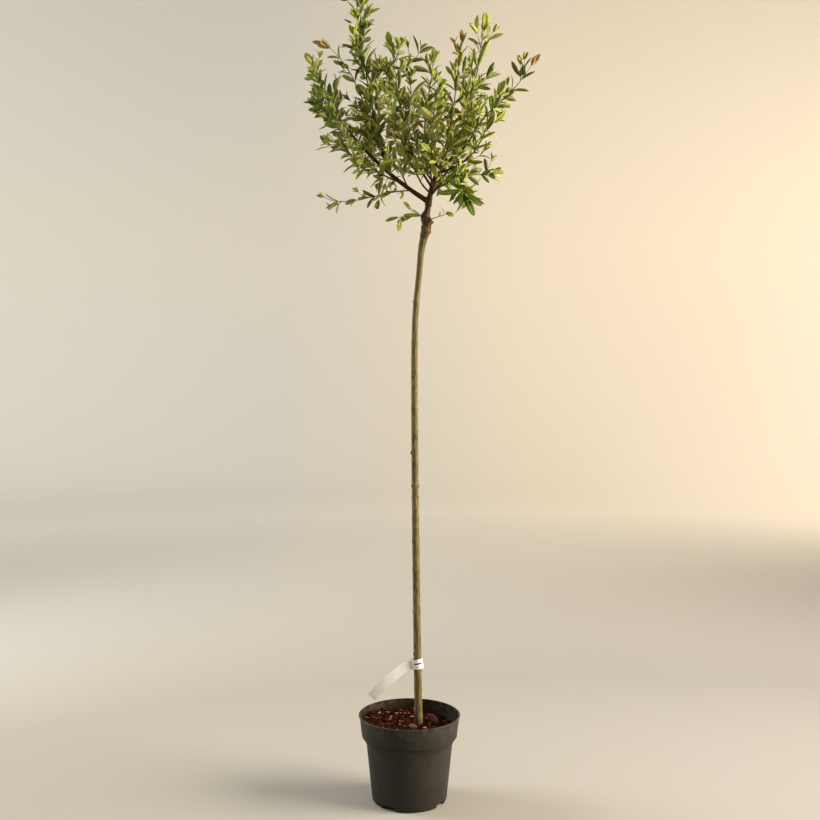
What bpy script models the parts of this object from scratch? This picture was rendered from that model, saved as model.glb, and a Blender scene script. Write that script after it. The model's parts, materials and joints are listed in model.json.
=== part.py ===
"""Potted standard dappled willow: a bushy crown grafted on a tall clear stem, in a round nursery pot.

Metres, +Z up. The origin is the middle of the pot's flat underside, and -Y is the front.
Headings run in degrees round the vertical: 0 is right (+X), 90 is back, 180 is left, 270 is front.
"""
import math
import random
from collections import namedtuple

import bmesh
import bpy
from mathutils import Matrix, Vector
from mathutils.kdtree import KDTree

# Fit
GAP = 0.0003  # clear space that touching pieces keep
LEAD = 0.002  # straight stretch that squares a limb to the one it goes on from

# Pot: outer radius and height at each change of the wall
POT_HEIGHT = 0.2025
RIM_RADIUS = 0.1173
RIM_BEAD_DROP = 0.0045
BAND_TOP_RADIUS = 0.1153
BAND_FOOT_RADIUS = 0.1098
BAND_FOOT_Z = 0.1500
STEP_Z = 0.1370
STEP_RADIUS = 0.0997
FOOT_RADIUS = 0.0862
FOOT_ROUND = 0.0080
WALL = 0.0022
BASE_THICKNESS = 0.0035
BASE_CORNER = (0.0040, 0.0070)  # how far the inner corner of the base is cut in and up
RIM_EDGE = 0.0008
POT_SEGMENTS = 32
SLOT_COUNT = 4
SLOT_WIDTH = 0.033
SLOT_HEIGHT = 0.010
SLOT_DEPTH = 0.016
SLOT_HEADING = 236.5

# Substrate: its surface, heaped up at the back left, and the lump beside the stem
SURFACE_Z = 0.1715
SURFACE_RISE = 0.016
SURFACE_RISE_HEADING = 140.0
HUMP_HEIGHT = 0.0022
HUMP_PITCH = 0.066
LEVEL_RADIUS = 0.024
SUBSTRATE_RINGS = 4
LUMP_PLACE = (0.055, 0.032, 0.1780)
LUMP_SIZE = (0.036, 0.021, 0.019)
LUMP_TURN = 150.0
LUMP_SLANT = -38.0

# Trunk: the places its centre line runs through, from the foot to the fork
TRUNK_LINE = (
    (0.0215, 0.000, SURFACE_Z + GAP),
    (0.0165, 0.002, 0.470),
    (0.0122, 0.004, 0.830),
    (0.0124, 0.002, 1.090),
    (0.0228, 0.000, 1.225),
    (0.0270, 0.000, 1.270),
    (0.0372, 0.000, 1.316),
    (0.0388, 0.000, 1.346),
    (0.0440, 0.000, 1.378),
)
TRUNK_SIDES = 10
TRUNK_SAMPLES = 480
TRUNK_FOOT_RADIUS = 0.0093
TRUNK_TOP_RADIUS = 0.0065
FLARE = 0.0030
FLARE_HEIGHT = 0.010
FLARE_LOBES = 3
FLARE_TURN = 205.0
GRAFT_Z = 1.326
GRAFT_SWELL = 0.0040
GRAFT_FALL_BELOW = 0.046  # how far down the swelling fades out, and how far up
GRAFT_FALL_ABOVE = 0.018
PLAIN_RING_STEP = 0.065
FINE_RING_STEP = 0.007
# Knobs of the graft: height, heading, how far each stands out, how far it spreads
KNOBS = (
    (1.344, 185.0, 0.0050, 0.009),
    (1.331, 345.0, 0.0045, 0.006),
    (1.308, 330.0, 0.0035, 0.007),
    (1.320, 95.0, 0.0035, 0.009),
)

# Tag: a thin strip that loops round the stem and hangs to the left
TAG_Z = 0.3200
TAG_WIDTH = 0.0225
TAG_THICKNESS = 0.0006
TAG_LOOP_HALF_WIDTH = 0.0118
TAG_LOOP_SEAT = 0.0009  # from the stem's skin to the middle of the strip, at the front
TAG_TILT = 10.0
TAG_TAIL_LENGTH = 0.122
TAG_TAIL_FALL = 33.0
TAG_TAIL_END_FALL = 46.0
TAG_TAIL_FORWARD = 0.016
TAG_LOOP_START = 158.0  # headings where the loop starts and ends, behind and before the tail
TAG_LOOP_END = -172.0
TAG_LOOP_STEPS = 16
TAG_TAIL_STEPS = 6

# Boughs: each end is a heading, a distance out from the fork and a height above it.
# "place" is how far along its parent a bough starts, and "sweep" how much it goes out before up.
Bough = namedtuple("Bough", "name parent place heading out up thick thin sweep")
BOUGHS = (
    Bough("leader", "trunk", 1.00, 0, 0.018, 0.064, 0.0062, 0.0048, -0.10),
    Bough("bough_left", "trunk", 0.988, 183, 0.158, 0.128, 0.0055, 0.0034, 0.08),
    Bough("bough_low_left", "bough_left", 0.36, 201, 0.100, 0.049, 0.0025, 0.0018, 0.10),
    Bough("bough_droop_left", "bough_left", 0.22, 193, 0.078, 0.018, 0.0018, 0.0015, 0.10),
    Bough("bough_top_left", "bough_left", 0.52, 170, 0.105, 0.109, 0.0029, 0.0023, 0.10),
    Bough("bough_side_left", "bough_left", 0.86, 169, 0.188, 0.146, 0.0022, 0.0018, 0.08),
    Bough("bough_outer_left", "bough_top_left", 0.50, 162, 0.138, 0.176, 0.0019, 0.0017, 0.06),
    Bough("bough_low_back", "bough_left", 0.24, 145, 0.068, 0.051, 0.0023, 0.0018, 0.10),
    Bough("bough_centre_left", "leader", 0.55, 206, 0.031, 0.085, 0.0030, 0.0024, 0.05),
    Bough("bough_front_left", "leader", 0.40, 239, 0.045, 0.045, 0.0025, 0.0019, 0.15),
    Bough("bough_back_left", "leader", 0.70, 107, 0.038, 0.077, 0.0027, 0.0021, 0.10),
    Bough("bough_centre", "leader", 1.00, 78, 0.017, 0.103, 0.0031, 0.0025, 0.00),
    Bough("bough_front", "leader", 0.55, 275, 0.042, 0.050, 0.0025, 0.0019, 0.15),
    Bough("bough_centre_right", "leader", 0.92, 329, 0.035, 0.096, 0.0026, 0.0021, 0.05),
    Bough("bough_top_right", "leader", 0.80, 17, 0.056, 0.103, 0.0035, 0.0026, 0.10),
    Bough("bough_right", "bough_top_right", 0.30, 344, 0.078, 0.083, 0.0027, 0.0021, 0.12),
    Bough("bough_far_right", "bough_top_right", 0.74, 8, 0.102, 0.154, 0.0026, 0.0021, 0.14),
    Bough("bough_droop_right", "leader", 0.28, 328, 0.036, 0.040, 0.0022, 0.0018, 0.00),
    Bough("bough_low_right", "leader", 0.48, 12, 0.048, 0.044, 0.0022, 0.0018, 0.10),
    Bough("bough_low_back_right", "leader", 0.38, 66, 0.051, 0.038, 0.0022, 0.0018, 0.12),
    Bough("bough_back", "leader", 0.84, 75, 0.049, 0.081, 0.0027, 0.0021, 0.10),
    Bough("bough_back_right", "leader", 0.62, 45, 0.055, 0.066, 0.0026, 0.0020, 0.12),
    Bough("bough_front_right", "leader", 0.68, 297, 0.042, 0.061, 0.0025, 0.0019, 0.05),
)
BOUGH_SIDES = 6
BOUGH_STEPS = 4

# Masses: each stem goes on from its bough to a tip, and "reach" is its longest side twig.
# "sag" is how far the middle of a drooping stem hangs down.
Mass = namedtuple("Mass", "name bough heading out up sweep sag reach")
MASSES = (
    Mass("mass_left", "bough_left", 185, 0.258, 0.292, 0.10, 0.0, 0.070),
    Mass("mass_low_left", "bough_low_left", 206, 0.228, 0.115, 0.08, 0.0, 0.060),
    Mass("mass_droop_left", "bough_droop_left", 190, 0.234, 0.004, 0.10, 0.045, 0.040),
    Mass("mass_top_left", "bough_top_left", 166, 0.172, 0.486, 0.18, 0.0, 0.080),
    Mass("mass_side_left", "bough_side_left", 164, 0.268, 0.242, 0.10, 0.0, 0.070),
    Mass("mass_outer_left", "bough_outer_left", 177, 0.228, 0.342, -0.25, 0.0, 0.030),
    Mass("mass_low_back", "bough_low_back", 135, 0.236, 0.226, 0.10, 0.0, 0.090),
    Mass("mass_centre_left", "bough_centre_left", 205, 0.093, 0.329, 0.05, 0.0, 0.075),
    Mass("mass_front_left", "bough_front_left", 242, 0.200, 0.215, 0.12, 0.0, 0.090),
    Mass("mass_back_left", "bough_back_left", 109, 0.141, 0.363, 0.10, 0.0, 0.080),
    Mass("mass_centre", "bough_centre", 77, 0.041, 0.318, 0.00, 0.0, 0.065),
    Mass("mass_front", "bough_front", 273, 0.190, 0.225, 0.12, 0.0, 0.090),
    Mass("mass_centre_right", "bough_centre_right", 330, 0.082, 0.340, 0.05, 0.0, 0.070),
    Mass("mass_top_right", "bough_top_right", 23, 0.134, 0.382, 0.08, 0.0, 0.075),
    Mass("mass_right", "bough_right", 333, 0.164, 0.220, 0.10, 0.0, 0.075),
    Mass("mass_far_right", "bough_far_right", 0, 0.226, 0.297, 0.12, 0.0, 0.060),
    Mass("mass_droop_right", "bough_droop_right", 318, 0.100, 0.010, 0.30, 0.0, 0.070),
    Mass("mass_low_right", "bough_low_right", 16, 0.156, 0.069, 0.10, 0.0, 0.055),
    Mass("mass_low_back_right", "bough_low_back_right", 64, 0.178, 0.070, 0.10, 0.0, 0.070),
    Mass("mass_back", "bough_back", 80, 0.204, 0.290, 0.10, 0.0, 0.090),
    Mass("mass_back_right", "bough_back_right", 51, 0.213, 0.247, 0.10, 0.0, 0.090),
    Mass("mass_front_right", "bough_front_right", 297, 0.197, 0.212, 0.12, 0.0, 0.090),
)

# Small shoots that sprout straight from the graft: the height of the root, then as a mass
Sucker = namedtuple("Sucker", "name height heading out up sweep sag reach")
SUCKERS = (
    Sucker("sucker_left", 1.345, 199, 0.090, -0.040, 0.30, 0.0, 0.032),
    Sucker("sucker_right", 1.335, 325, 0.062, -0.026, 0.20, 0.0, 0.026),
)

# Twigs and leaves
TWIG_SIDES = 3
STEM_STEPS = 5
STEM_TIP_RADIUS = 0.0014
SUCKER_RADIUS = 0.0015
TWIG_RADIUS = 0.0013
TWIG_TIP_RADIUS = 0.0011
TWIG_SPACING = 0.038
FEWEST_TWIGS = 3
TWIG_STEPS = 2
TWIG_LEAN = 48.0  # degrees from its stem where a twig starts
TWIG_LIFT = 0.45  # how far a twig turns up towards the sky by its tip
SHORTEST_TWIG = 0.022
BARE_STEM = 0.06  # share of a stem that carries no twigs
LEAF_LENGTH = 0.042
LEAF_WIDTH = 0.0145
LEAF_THICKNESS = 0.0018
LEAF_SPACING = 0.0215
LEAF_WIDEST = 0.55  # share of a leaf's length where it is widest
LEAF_LEAN = 50.0
TIP_LEAF_LEAN = 7.0
LEAF_ROLL = 1.1  # radians that a leaf may roll about its own length
LEAF_SINK = 0.0012
LEAF_SMALLEST = 0.75
BARE_TWIG = 0.011
SPACE_MARGIN = 0.0016
LIMB_MARGIN = 0.0022
SHRINK = 0.8  # each shorter try for a twig that doesn't fit
STEM_SAMPLES = 60  # points along a stem or a limb that its neighbours are kept off
LIMB_SAMPLES = 80
STEM_NEIGHBOURS = 40
LIMB_NEIGHBOURS = 6

# Base colours, as the shader takes them
POT_COLOUR = (0.052, 0.045, 0.036)
SUBSTRATE_COLOUR = (0.060, 0.022, 0.012)
STEM_COLOUR = (0.150, 0.125, 0.045)
BOUGH_COLOUR = (0.120, 0.070, 0.032)
TAG_COLOUR = (0.800, 0.790, 0.770)
LEAF_COLOURS = ((0.100, 0.175, 0.030), (0.145, 0.215, 0.045), (0.190, 0.240, 0.075))


def clear_scene():
    for thing in list(bpy.data.objects):
        bpy.data.objects.remove(thing, do_unlink=True)


def make_material(name, colour, roughness):
    material = bpy.data.materials.new(name)
    material.use_nodes = True
    shader = material.node_tree.nodes["Principled BSDF"]
    shader.inputs["Base Color"].default_value = (*colour, 1.0)
    shader.inputs["Roughness"].default_value = roughness
    shader.inputs["Metallic"].default_value = 0.0
    return material


def make_object(name, shape, material=None, collection=None):
    """Turn a bmesh into an object of the scene and free the bmesh."""
    bmesh.ops.recalc_face_normals(shape, faces=shape.faces)
    mesh = bpy.data.meshes.new(name)
    shape.to_mesh(mesh)
    shape.free()
    if material:
        mesh.materials.append(material)
    thing = bpy.data.objects.new(name, mesh)
    (collection or bpy.context.scene.collection).objects.link(thing)
    return thing


def shade(thing, sharp_angle):
    thing.data.shade_smooth()
    thing.data.set_sharp_from_angle(angle=math.radians(sharp_angle))


def island_of(vertex, seen):
    """All vertices joined to this one by edges."""
    island = [vertex]
    seen.add(vertex)
    for member in island:
        for edge in member.link_edges:
            other = edge.other_vert(member)
            if other not in seen:
                seen.add(other)
                island.append(other)
    return island


def keep_main_body(shape):
    """Drop loose scraps and sealed hollows, and leave the largest island."""
    seen = set()
    islands = []
    for vertex in shape.verts:
        if vertex not in seen:
            islands.append(island_of(vertex, seen))
    islands.sort(key=len, reverse=True)
    for island in islands[1:]:
        bmesh.ops.delete(shape, geom=island, context="VERTS")


def boolean_result(thing, operation, operand, solver):
    """What one Boolean makes of an object: its main body, in triangles, as a bmesh."""
    modifier = thing.modifiers.new(operation.lower(), "BOOLEAN")
    modifier.operation = operation
    modifier.solver = solver
    if isinstance(operand, bpy.types.Collection):
        modifier.operand_type = "COLLECTION"
        modifier.collection = operand
    else:
        modifier.object = operand
    evaluated = thing.evaluated_get(bpy.context.evaluated_depsgraph_get())
    shape = bmesh.new()
    shape.from_mesh(evaluated.to_mesh())
    evaluated.to_mesh_clear()
    thing.modifiers.clear()
    keep_main_body(shape)
    bmesh.ops.triangulate(shape, faces=shape.faces)
    return shape


def is_closed(shape):
    edges_pair = all(edge.is_manifold and edge.is_contiguous for edge in shape.edges)
    return edges_pair and all(vertex.is_manifold for vertex in shape.verts)


def apply_boolean(thing, operation, operand):
    """Apply one Boolean with an object or a collection, and keep the result closed."""
    shape = boolean_result(thing, operation, operand, "EXACT")
    if not is_closed(shape):
        shape.free()
        shape = boolean_result(thing, operation, operand, "MANIFOLD")
    shape.to_mesh(thing.data)
    shape.free()


def remove_with_mesh(things):
    for thing in list(things):
        mesh = thing.data
        bpy.data.objects.remove(thing, do_unlink=True)
        bpy.data.meshes.remove(mesh)


def direction(heading, rise=0.0):
    """A unit vector that points to a heading, lifted by an angle above the level."""
    turn = math.radians(heading)
    lift = math.radians(rise)
    return Vector((math.cos(turn) * math.cos(lift), math.sin(turn) * math.cos(lift), math.sin(lift)))


def crown_point(heading, out, up):
    """A point of the crown, counted from the fork."""
    fork = Vector(TRUNK_LINE[-1])
    return fork + direction(heading) * out + Vector((0.0, 0.0, up))


# Lines and tubes


def smooth_line(points, fraction):
    """The point at a fraction of a smooth line through all the points given."""
    spans = len(points) - 1
    place = min(max(fraction, 0.0), 1.0) * spans
    index = min(int(place), spans - 1)
    t = place - index
    before = points[max(index - 1, 0)]
    here = points[index]
    there = points[index + 1]
    after = points[min(index + 2, spans)]
    return 0.5 * (
        2.0 * here
        + (there - before) * t
        + (2.0 * before - 5.0 * here + 4.0 * there - after) * t**2
        + (3.0 * here - before - 3.0 * there + after) * t**3
    )


def limb_line(start, end, sweep, steps, leaving=None, sag=0.0):
    """A limb's centre line: it goes out before up by its sweep, and starts along "leaving" if given."""
    across = Vector((end.x - start.x, end.y - start.y, 0.0))
    rise = Vector((0.0, 0.0, end.z - start.z))
    bend = start + across * (0.5 + sweep) + rise * (0.5 - sweep) - Vector((0.0, 0.0, sag))
    first = start.lerp(bend, 2.0 / 3.0)
    if leaving:
        first = start + leaving * (end - start).length / 3.0
    second = end.lerp(bend, 2.0 / 3.0)
    line = []
    for step in range(steps + 1):
        t = step / steps
        u = 1.0 - t
        line.append(start * u**3 + first * 3 * u * u * t + second * 3 * u * t * t + end * t**3)
    if leaving:
        line.insert(1, start + leaving * LEAD)
    return line


def along(line, fraction):
    """The point and the direction at a fraction of a line of points."""
    place = min(max(fraction, 0.0), 1.0) * (len(line) - 1)
    index = min(int(place), len(line) - 2)
    point = line[index].lerp(line[index + 1], place - index)
    return point, (line[index + 1] - line[index]).normalized()


def line_length(line):
    return sum((b - a).length for a, b in zip(line, line[1:]))


def frames(line):
    """A pair of cross directions at each point, carried along without twisting."""
    last = len(line) - 1
    tangents = [(line[min(i + 1, last)] - line[max(i - 1, 0)]).normalized() for i in range(last + 1)]
    side = tangents[0].orthogonal().normalized()
    pairs = []
    for tangent in tangents:
        side = (side - tangent * side.dot(tangent)).normalized()
        pairs.append((side, tangent.cross(side)))
    return pairs


def add_tube(shape, line, radii, sides):
    """A closed tube with flat ends."""
    rings = []
    for point, radius, (side, other) in zip(line, radii, frames(line)):
        ring = []
        for number in range(sides):
            angle = math.tau * number / sides
            outward = side * math.cos(angle) + other * math.sin(angle)
            ring.append(shape.verts.new(point + outward * radius))
        rings.append(ring)
    close_rings(shape, rings)


def close_rings(shape, rings):
    """Walls between rings of vertices, and a flat face at each end."""
    count = len(rings[0])
    for lower, upper in zip(rings, rings[1:]):
        for number in range(count):
            after = (number + 1) % count
            shape.faces.new((lower[number], lower[after], upper[after], upper[number]))
    shape.faces.new(list(reversed(rings[0])))
    shape.faces.new(rings[-1])


def tapered(thick, thin, count):
    return [thick + (thin - thick) * number / (count - 1) for number in range(count)]


# Pot and substrate


def outer_wall():
    """The wall's outer profile from the foot up, as radius and height, with its rounded lower edge."""
    centre_radius = FOOT_RADIUS - FOOT_ROUND
    profile = []
    for degrees in (-90, -60, -30, 0):
        angle = math.radians(degrees)
        radius = centre_radius + FOOT_ROUND * math.cos(angle)
        profile.append((radius, FOOT_ROUND + FOOT_ROUND * math.sin(angle)))
    profile.append((STEP_RADIUS, STEP_Z))
    profile.append((BAND_FOOT_RADIUS - WALL, BAND_FOOT_Z - WALL))
    profile.append((BAND_FOOT_RADIUS, BAND_FOOT_Z))
    profile.append((BAND_TOP_RADIUS, POT_HEIGHT - RIM_BEAD_DROP))
    return profile


def inner_wall(clear=0.0):
    """The wall's inner profile from the base up, drawn in by a clearance."""
    inset = WALL + clear
    floor = BASE_THICKNESS + clear
    return [
        (FOOT_RADIUS - inset - BASE_CORNER[0], floor),
        (FOOT_RADIUS - inset, floor + BASE_CORNER[1]),
        (STEP_RADIUS - inset, STEP_Z - WALL * 0.5),
        (BAND_FOOT_RADIUS - inset - WALL, BAND_FOOT_Z - WALL * 0.6),
        (BAND_FOOT_RADIUS - inset, BAND_FOOT_Z + WALL),
        (BAND_TOP_RADIUS - inset, POT_HEIGHT - RIM_BEAD_DROP),
    ]


def turned(shape, profile, segments):
    """Spin a profile of radius and height round the Z axis; both its ends lie on the axis."""
    points = [shape.verts.new((radius, 0.0, height)) for radius, height in profile]
    edges = [shape.edges.new(pair) for pair in zip(points, points[1:])]
    bmesh.ops.spin(
        shape,
        geom=points + edges,
        cent=(0.0, 0.0, 0.0),
        axis=(0.0, 0.0, 1.0),
        angle=math.tau,
        steps=segments,
        use_merge=True,
        use_duplicate=False,
    )
    bmesh.ops.remove_doubles(shape, verts=shape.verts, dist=1e-6)


def make_pot():
    shape = bmesh.new()
    rim = [
        (RIM_RADIUS, POT_HEIGHT - RIM_BEAD_DROP * 0.8),
        (RIM_RADIUS, POT_HEIGHT - RIM_EDGE),
        (RIM_RADIUS - RIM_EDGE, POT_HEIGHT),
        (BAND_TOP_RADIUS - WALL + RIM_EDGE, POT_HEIGHT),
    ]
    profile = [(0.0, 0.0)] + outer_wall() + rim + inner_wall()[::-1] + [(0.0, BASE_THICKNESS)]
    turned(shape, profile, POT_SEGMENTS)
    pot = make_object("pot", shape, make_material("pot plastic", POT_COLOUR, 0.62))
    for number in range(SLOT_COUNT):
        cutter = make_slot_cutter(SLOT_HEADING + 360.0 * number / SLOT_COUNT)
        apply_boolean(pot, "DIFFERENCE", cutter)
        remove_with_mesh([cutter])
    shade(pot, 35.0)


def make_slot_cutter(heading):
    """A block across the lower edge of the pot, where a drainage slot goes."""
    shape = bmesh.new()
    size = (SLOT_DEPTH * 2.0, SLOT_WIDTH, SLOT_HEIGHT * 2.0)
    place = Matrix.Rotation(math.radians(heading), 4, "Z") @ Matrix.Translation((FOOT_RADIUS, 0.0, 0.0))
    bmesh.ops.create_cube(shape, size=1.0, matrix=place @ Matrix.Diagonal((*size, 1.0)))
    return make_object("slot_cutter", shape)


def surface_height(x, y):
    """Height of the substrate: level by the stem, heaped to one side, with low humps."""
    foot = Vector(TRUNK_LINE[0])
    away = math.hypot(x - foot.x, y - foot.y)
    if away < LEVEL_RADIUS:
        return SURFACE_Z
    share = min((away - LEVEL_RADIUS) / (RIM_RADIUS - LEVEL_RADIUS), 1.0)
    towards = direction(SURFACE_RISE_HEADING).dot(Vector((x, y, 0.0))) / RIM_RADIUS
    wave = math.tau / HUMP_PITCH
    humps = math.sin(wave * x) * math.cos(0.8 * wave * y) + math.sin(wave * (1.6 * y - 0.6 * x))
    return SURFACE_Z + share * (SURFACE_RISE * towards + HUMP_HEIGHT * humps)


def band_radius(height):
    """Radius of the substrate where it meets the pot's band, a gap inside the wall."""
    (low_radius, low), (high_radius, high) = inner_wall(GAP)[-2:]
    return low_radius + (high_radius - low_radius) * (height - low) / (high - low)


def make_substrate():
    shape = bmesh.new()
    wall = inner_wall(GAP)[:-1]
    edge_radius = band_radius(SURFACE_Z)
    turned(shape, [(0.0, wall[0][1])] + wall + [(edge_radius, SURFACE_Z), (0.0, SURFACE_Z)], POT_SEGMENTS)
    top = [face for face in shape.faces if face.calc_center_median().z > SURFACE_Z - 1e-5]
    spokes = [edge for edge in {edge for face in top for edge in face.edges} if not is_level_ring(edge)]
    bmesh.ops.subdivide_edges(shape, edges=spokes, cuts=SUBSTRATE_RINGS, use_grid_fill=False)
    for vertex in shape.verts:
        if vertex.co.z > SURFACE_Z - 1e-5:
            at_wall = vertex.co.xy.length > edge_radius - 1e-5
            vertex.co.z = surface_height(vertex.co.x, vertex.co.y)
            if at_wall:
                vertex.co.xy = vertex.co.xy.normalized() * band_radius(vertex.co.z)
    substrate = make_object("substrate", shape, make_material("bark substrate", SUBSTRATE_COLOUR, 0.95))
    lump = make_lump()
    apply_boolean(substrate, "UNION", lump)
    remove_with_mesh([lump])
    shade(substrate, 45.0)


def is_level_ring(edge):
    """True for an edge that runs round the axis, not away from it."""
    near, far = (vertex.co.xy.length for vertex in edge.verts)
    return abs(near - far) < 1e-5


def make_lump():
    shape = bmesh.new()
    place = Matrix.Translation(LUMP_PLACE) @ Matrix.Rotation(math.radians(LUMP_TURN), 4, "Z")
    place = place @ Matrix.Rotation(math.radians(LUMP_SLANT), 4, "Y")
    size = Matrix.Diagonal((*LUMP_SIZE, 1.0))
    bmesh.ops.create_icosphere(shape, subdivisions=2, radius=0.5, matrix=place @ size)
    return make_object("lump", shape)


# Trunk


def trunk_samples():
    """Points close together on the smooth line from the foot to the fork."""
    places = [Vector(place) for place in TRUNK_LINE]
    return [smooth_line(places, number / TRUNK_SAMPLES) for number in range(TRUNK_SAMPLES + 1)]


def trunk_line():
    """Rings far apart on the plain stem and close together at the flare and the graft."""
    samples = trunk_samples()
    line = [samples[0]]
    for point in samples[1:-1]:
        near_foot = point.z < SURFACE_Z + FLARE_HEIGHT * 3.5
        near_graft = point.z > GRAFT_Z - GRAFT_FALL_BELOW
        step = FINE_RING_STEP if near_foot or near_graft else PLAIN_RING_STEP
        if point.z - line[-1].z >= step:
            line.append(point)
    line.append(samples[-1])
    return line


def trunk_radius(height, angle=None):
    """Radius of the trunk at a height, with the root flare, the graft's swelling and its knobs."""
    share = (height - SURFACE_Z) / (TRUNK_LINE[-1][2] - SURFACE_Z)
    radius = TRUNK_FOOT_RADIUS + (TRUNK_TOP_RADIUS - TRUNK_FOOT_RADIUS) * share
    fall = GRAFT_FALL_BELOW if height < GRAFT_Z else GRAFT_FALL_ABOVE
    radius += GRAFT_SWELL * math.exp(-(((height - GRAFT_Z) / fall) ** 2))
    flare = FLARE * math.exp(-(height - SURFACE_Z) / FLARE_HEIGHT)
    if angle is None:
        return radius + flare
    lobe = 0.65 + 0.35 * math.cos(FLARE_LOBES * (angle - math.radians(FLARE_TURN)))
    radius += flare * lobe
    for knob_height, knob_heading, stands_out, spread in KNOBS:
        turn = math.remainder(angle - math.radians(knob_heading), math.tau) * radius
        away = math.hypot(turn, height - knob_height)
        radius += stands_out * math.exp(-((away / spread) ** 2))
    return radius


def trunk_face(height, angle):
    """Distance from the centre line out to the flat side between two corners of the trunk."""
    span = math.tau / TRUNK_SIDES
    past = angle % span
    near = trunk_radius(height, angle - past)
    far = trunk_radius(height, angle - past + span)
    return near * far * math.sin(span) / (near * math.sin(past) + far * math.sin(span - past))


def add_trunk(shape, line, extra=0.0):
    """The trunk's skin, with level rings, grown by an extra all round."""
    rings = []
    for point in line:
        ring = []
        for number in range(TRUNK_SIDES):
            angle = math.tau * number / TRUNK_SIDES
            size = trunk_radius(point.z, angle) + extra
            ring.append(shape.verts.new(point + Vector((math.cos(angle), math.sin(angle), 0.0)) * size))
        rings.append(ring)
    close_rings(shape, rings)


def make_trunk():
    """The stem from a flat cut on the substrate to the fork."""
    shape = bmesh.new()
    line = trunk_line()
    add_trunk(shape, line)
    trunk = make_object("trunk", shape, make_material("stem bark", STEM_COLOUR, 0.75))
    shade(trunk, 60.0)
    return line


# Tag


def tag_line(stem, stem_radius):
    """The strip's middle line, and the direction across it at each point."""
    points = []
    across = []
    half_depth = stem_radius + TAG_LOOP_SEAT
    tilt = math.tan(math.radians(TAG_TILT))
    for step in range(TAG_LOOP_STEPS + 1):
        angle = math.radians(TAG_LOOP_START + (TAG_LOOP_END - TAG_LOOP_START) * step / TAG_LOOP_STEPS)
        x = TAG_LOOP_HALF_WIDTH * math.cos(angle)
        points.append(stem + Vector((x, half_depth * math.sin(angle), tilt * x)))
        across.append(Vector((-math.sin(math.radians(TAG_TILT)), 0.0, math.cos(math.radians(TAG_TILT)))))
    step_length = TAG_TAIL_LENGTH / TAG_TAIL_STEPS
    for step in range(TAG_TAIL_STEPS):
        share = (step + 1) / TAG_TAIL_STEPS
        fall = math.radians(TAG_TAIL_FALL + (TAG_TAIL_END_FALL - TAG_TAIL_FALL) * share)
        if step == 0:
            fall = math.radians((TAG_TAIL_FALL + TAG_TILT) / 2.0)
        forward = -TAG_TAIL_FORWARD / TAG_TAIL_LENGTH
        move = Vector((-math.cos(fall), forward, -math.sin(fall))).normalized()
        points.append(points[-1] + move * step_length)
        across.append(Vector((-math.sin(fall), 0.0, math.cos(fall))))
    return points, across


def make_tag():
    """One thin strip with square ends, swept round its loop and down its tail."""
    shape = bmesh.new()
    stem = min(trunk_samples(), key=lambda point: abs(point.z - TAG_Z))
    points, across = tag_line(stem, trunk_radius(TAG_Z))
    rings = []
    for number, (point, wide) in enumerate(zip(points, across)):
        ahead = points[min(number + 1, len(points) - 1)] - points[max(number - 1, 0)]
        thick = ahead.cross(wide).normalized() * TAG_THICKNESS / 2.0
        half = wide * TAG_WIDTH / 2.0
        corners = (point + half + thick, point - half + thick, point - half - thick, point + half - thick)
        rings.append([shape.verts.new(corner) for corner in corners])
    close_rings(shape, rings)
    tag = make_object("tag", shape, make_material("tag plastic", TAG_COLOUR, 0.45))
    shade(tag, 40.0)


# Boughs


def plan_boughs(trunk):
    """Every limb's centre line and radii, by name, in growing order."""
    limbs = {"trunk": (trunk, [trunk_radius(point.z) for point in trunk])}
    for bough in BOUGHS:
        parent_line, _ = limbs[bough.parent]
        start, heading = along(parent_line, bough.place)
        goes_on = bough.place == 1.0
        if goes_on:
            start = start + heading * GAP
        end = crown_point(bough.heading, bough.out, bough.up)
        line = limb_line(start, end, bough.sweep, BOUGH_STEPS, heading if goes_on else None)
        limbs[bough.name] = (line, tapered(bough.thick, bough.thin, len(line)))
    return limbs


def boxes_meet(first, second, margin):
    """True where the boxes round two lines overlap, grown by a margin."""
    for axis in range(3):
        low = max(min(p[axis] for p in first), min(p[axis] for p in second))
        high = min(max(p[axis] for p in first), max(p[axis] for p in second))
        if low > high + margin:
            return False
    return True


def make_boughs(limbs):
    """Each bough as one tapering limb, cut clear of the limbs that were there before it."""
    bark = make_material("bough bark", BOUGH_COLOUR, 0.8)
    names = list(limbs)
    for number, bough in enumerate(BOUGHS):
        line, radii = limbs[bough.name]
        shape = bmesh.new()
        add_tube(shape, line, radii, BOUGH_SIDES)
        limb = make_object(bough.name, shape, bark)
        for earlier in names[: number + 1]:
            if boxes_meet(line[:3], limbs[earlier][0], bough.thick * 2.0):
                cutter = make_grown_limb(earlier, *limbs[earlier])
                apply_boolean(limb, "DIFFERENCE", cutter)
                remove_with_mesh([cutter])
        shade(limb, 60.0)


def make_grown_limb(name, line, radii):
    """A limb grown by the gap all round, to cut its neighbours with."""
    shape = bmesh.new()
    if name == "trunk":
        head = [point for point in line if point.z > GRAFT_Z]
        add_trunk(shape, head + [line[-1] + Vector((0.0, 0.0, GAP))], GAP)
    else:
        before = line[0] + (line[0] - line[1]).normalized() * GAP
        beyond = line[-1] + (line[-1] - line[-2]).normalized() * GAP
        wide = [radius + GAP / math.cos(math.pi / BOUGH_SIDES) for radius in radii]
        add_tube(shape, [before] + line[1:-1] + [beyond], wide, BOUGH_SIDES)
    return make_object("grown_limb", shape)


# Masses of foliage


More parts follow.
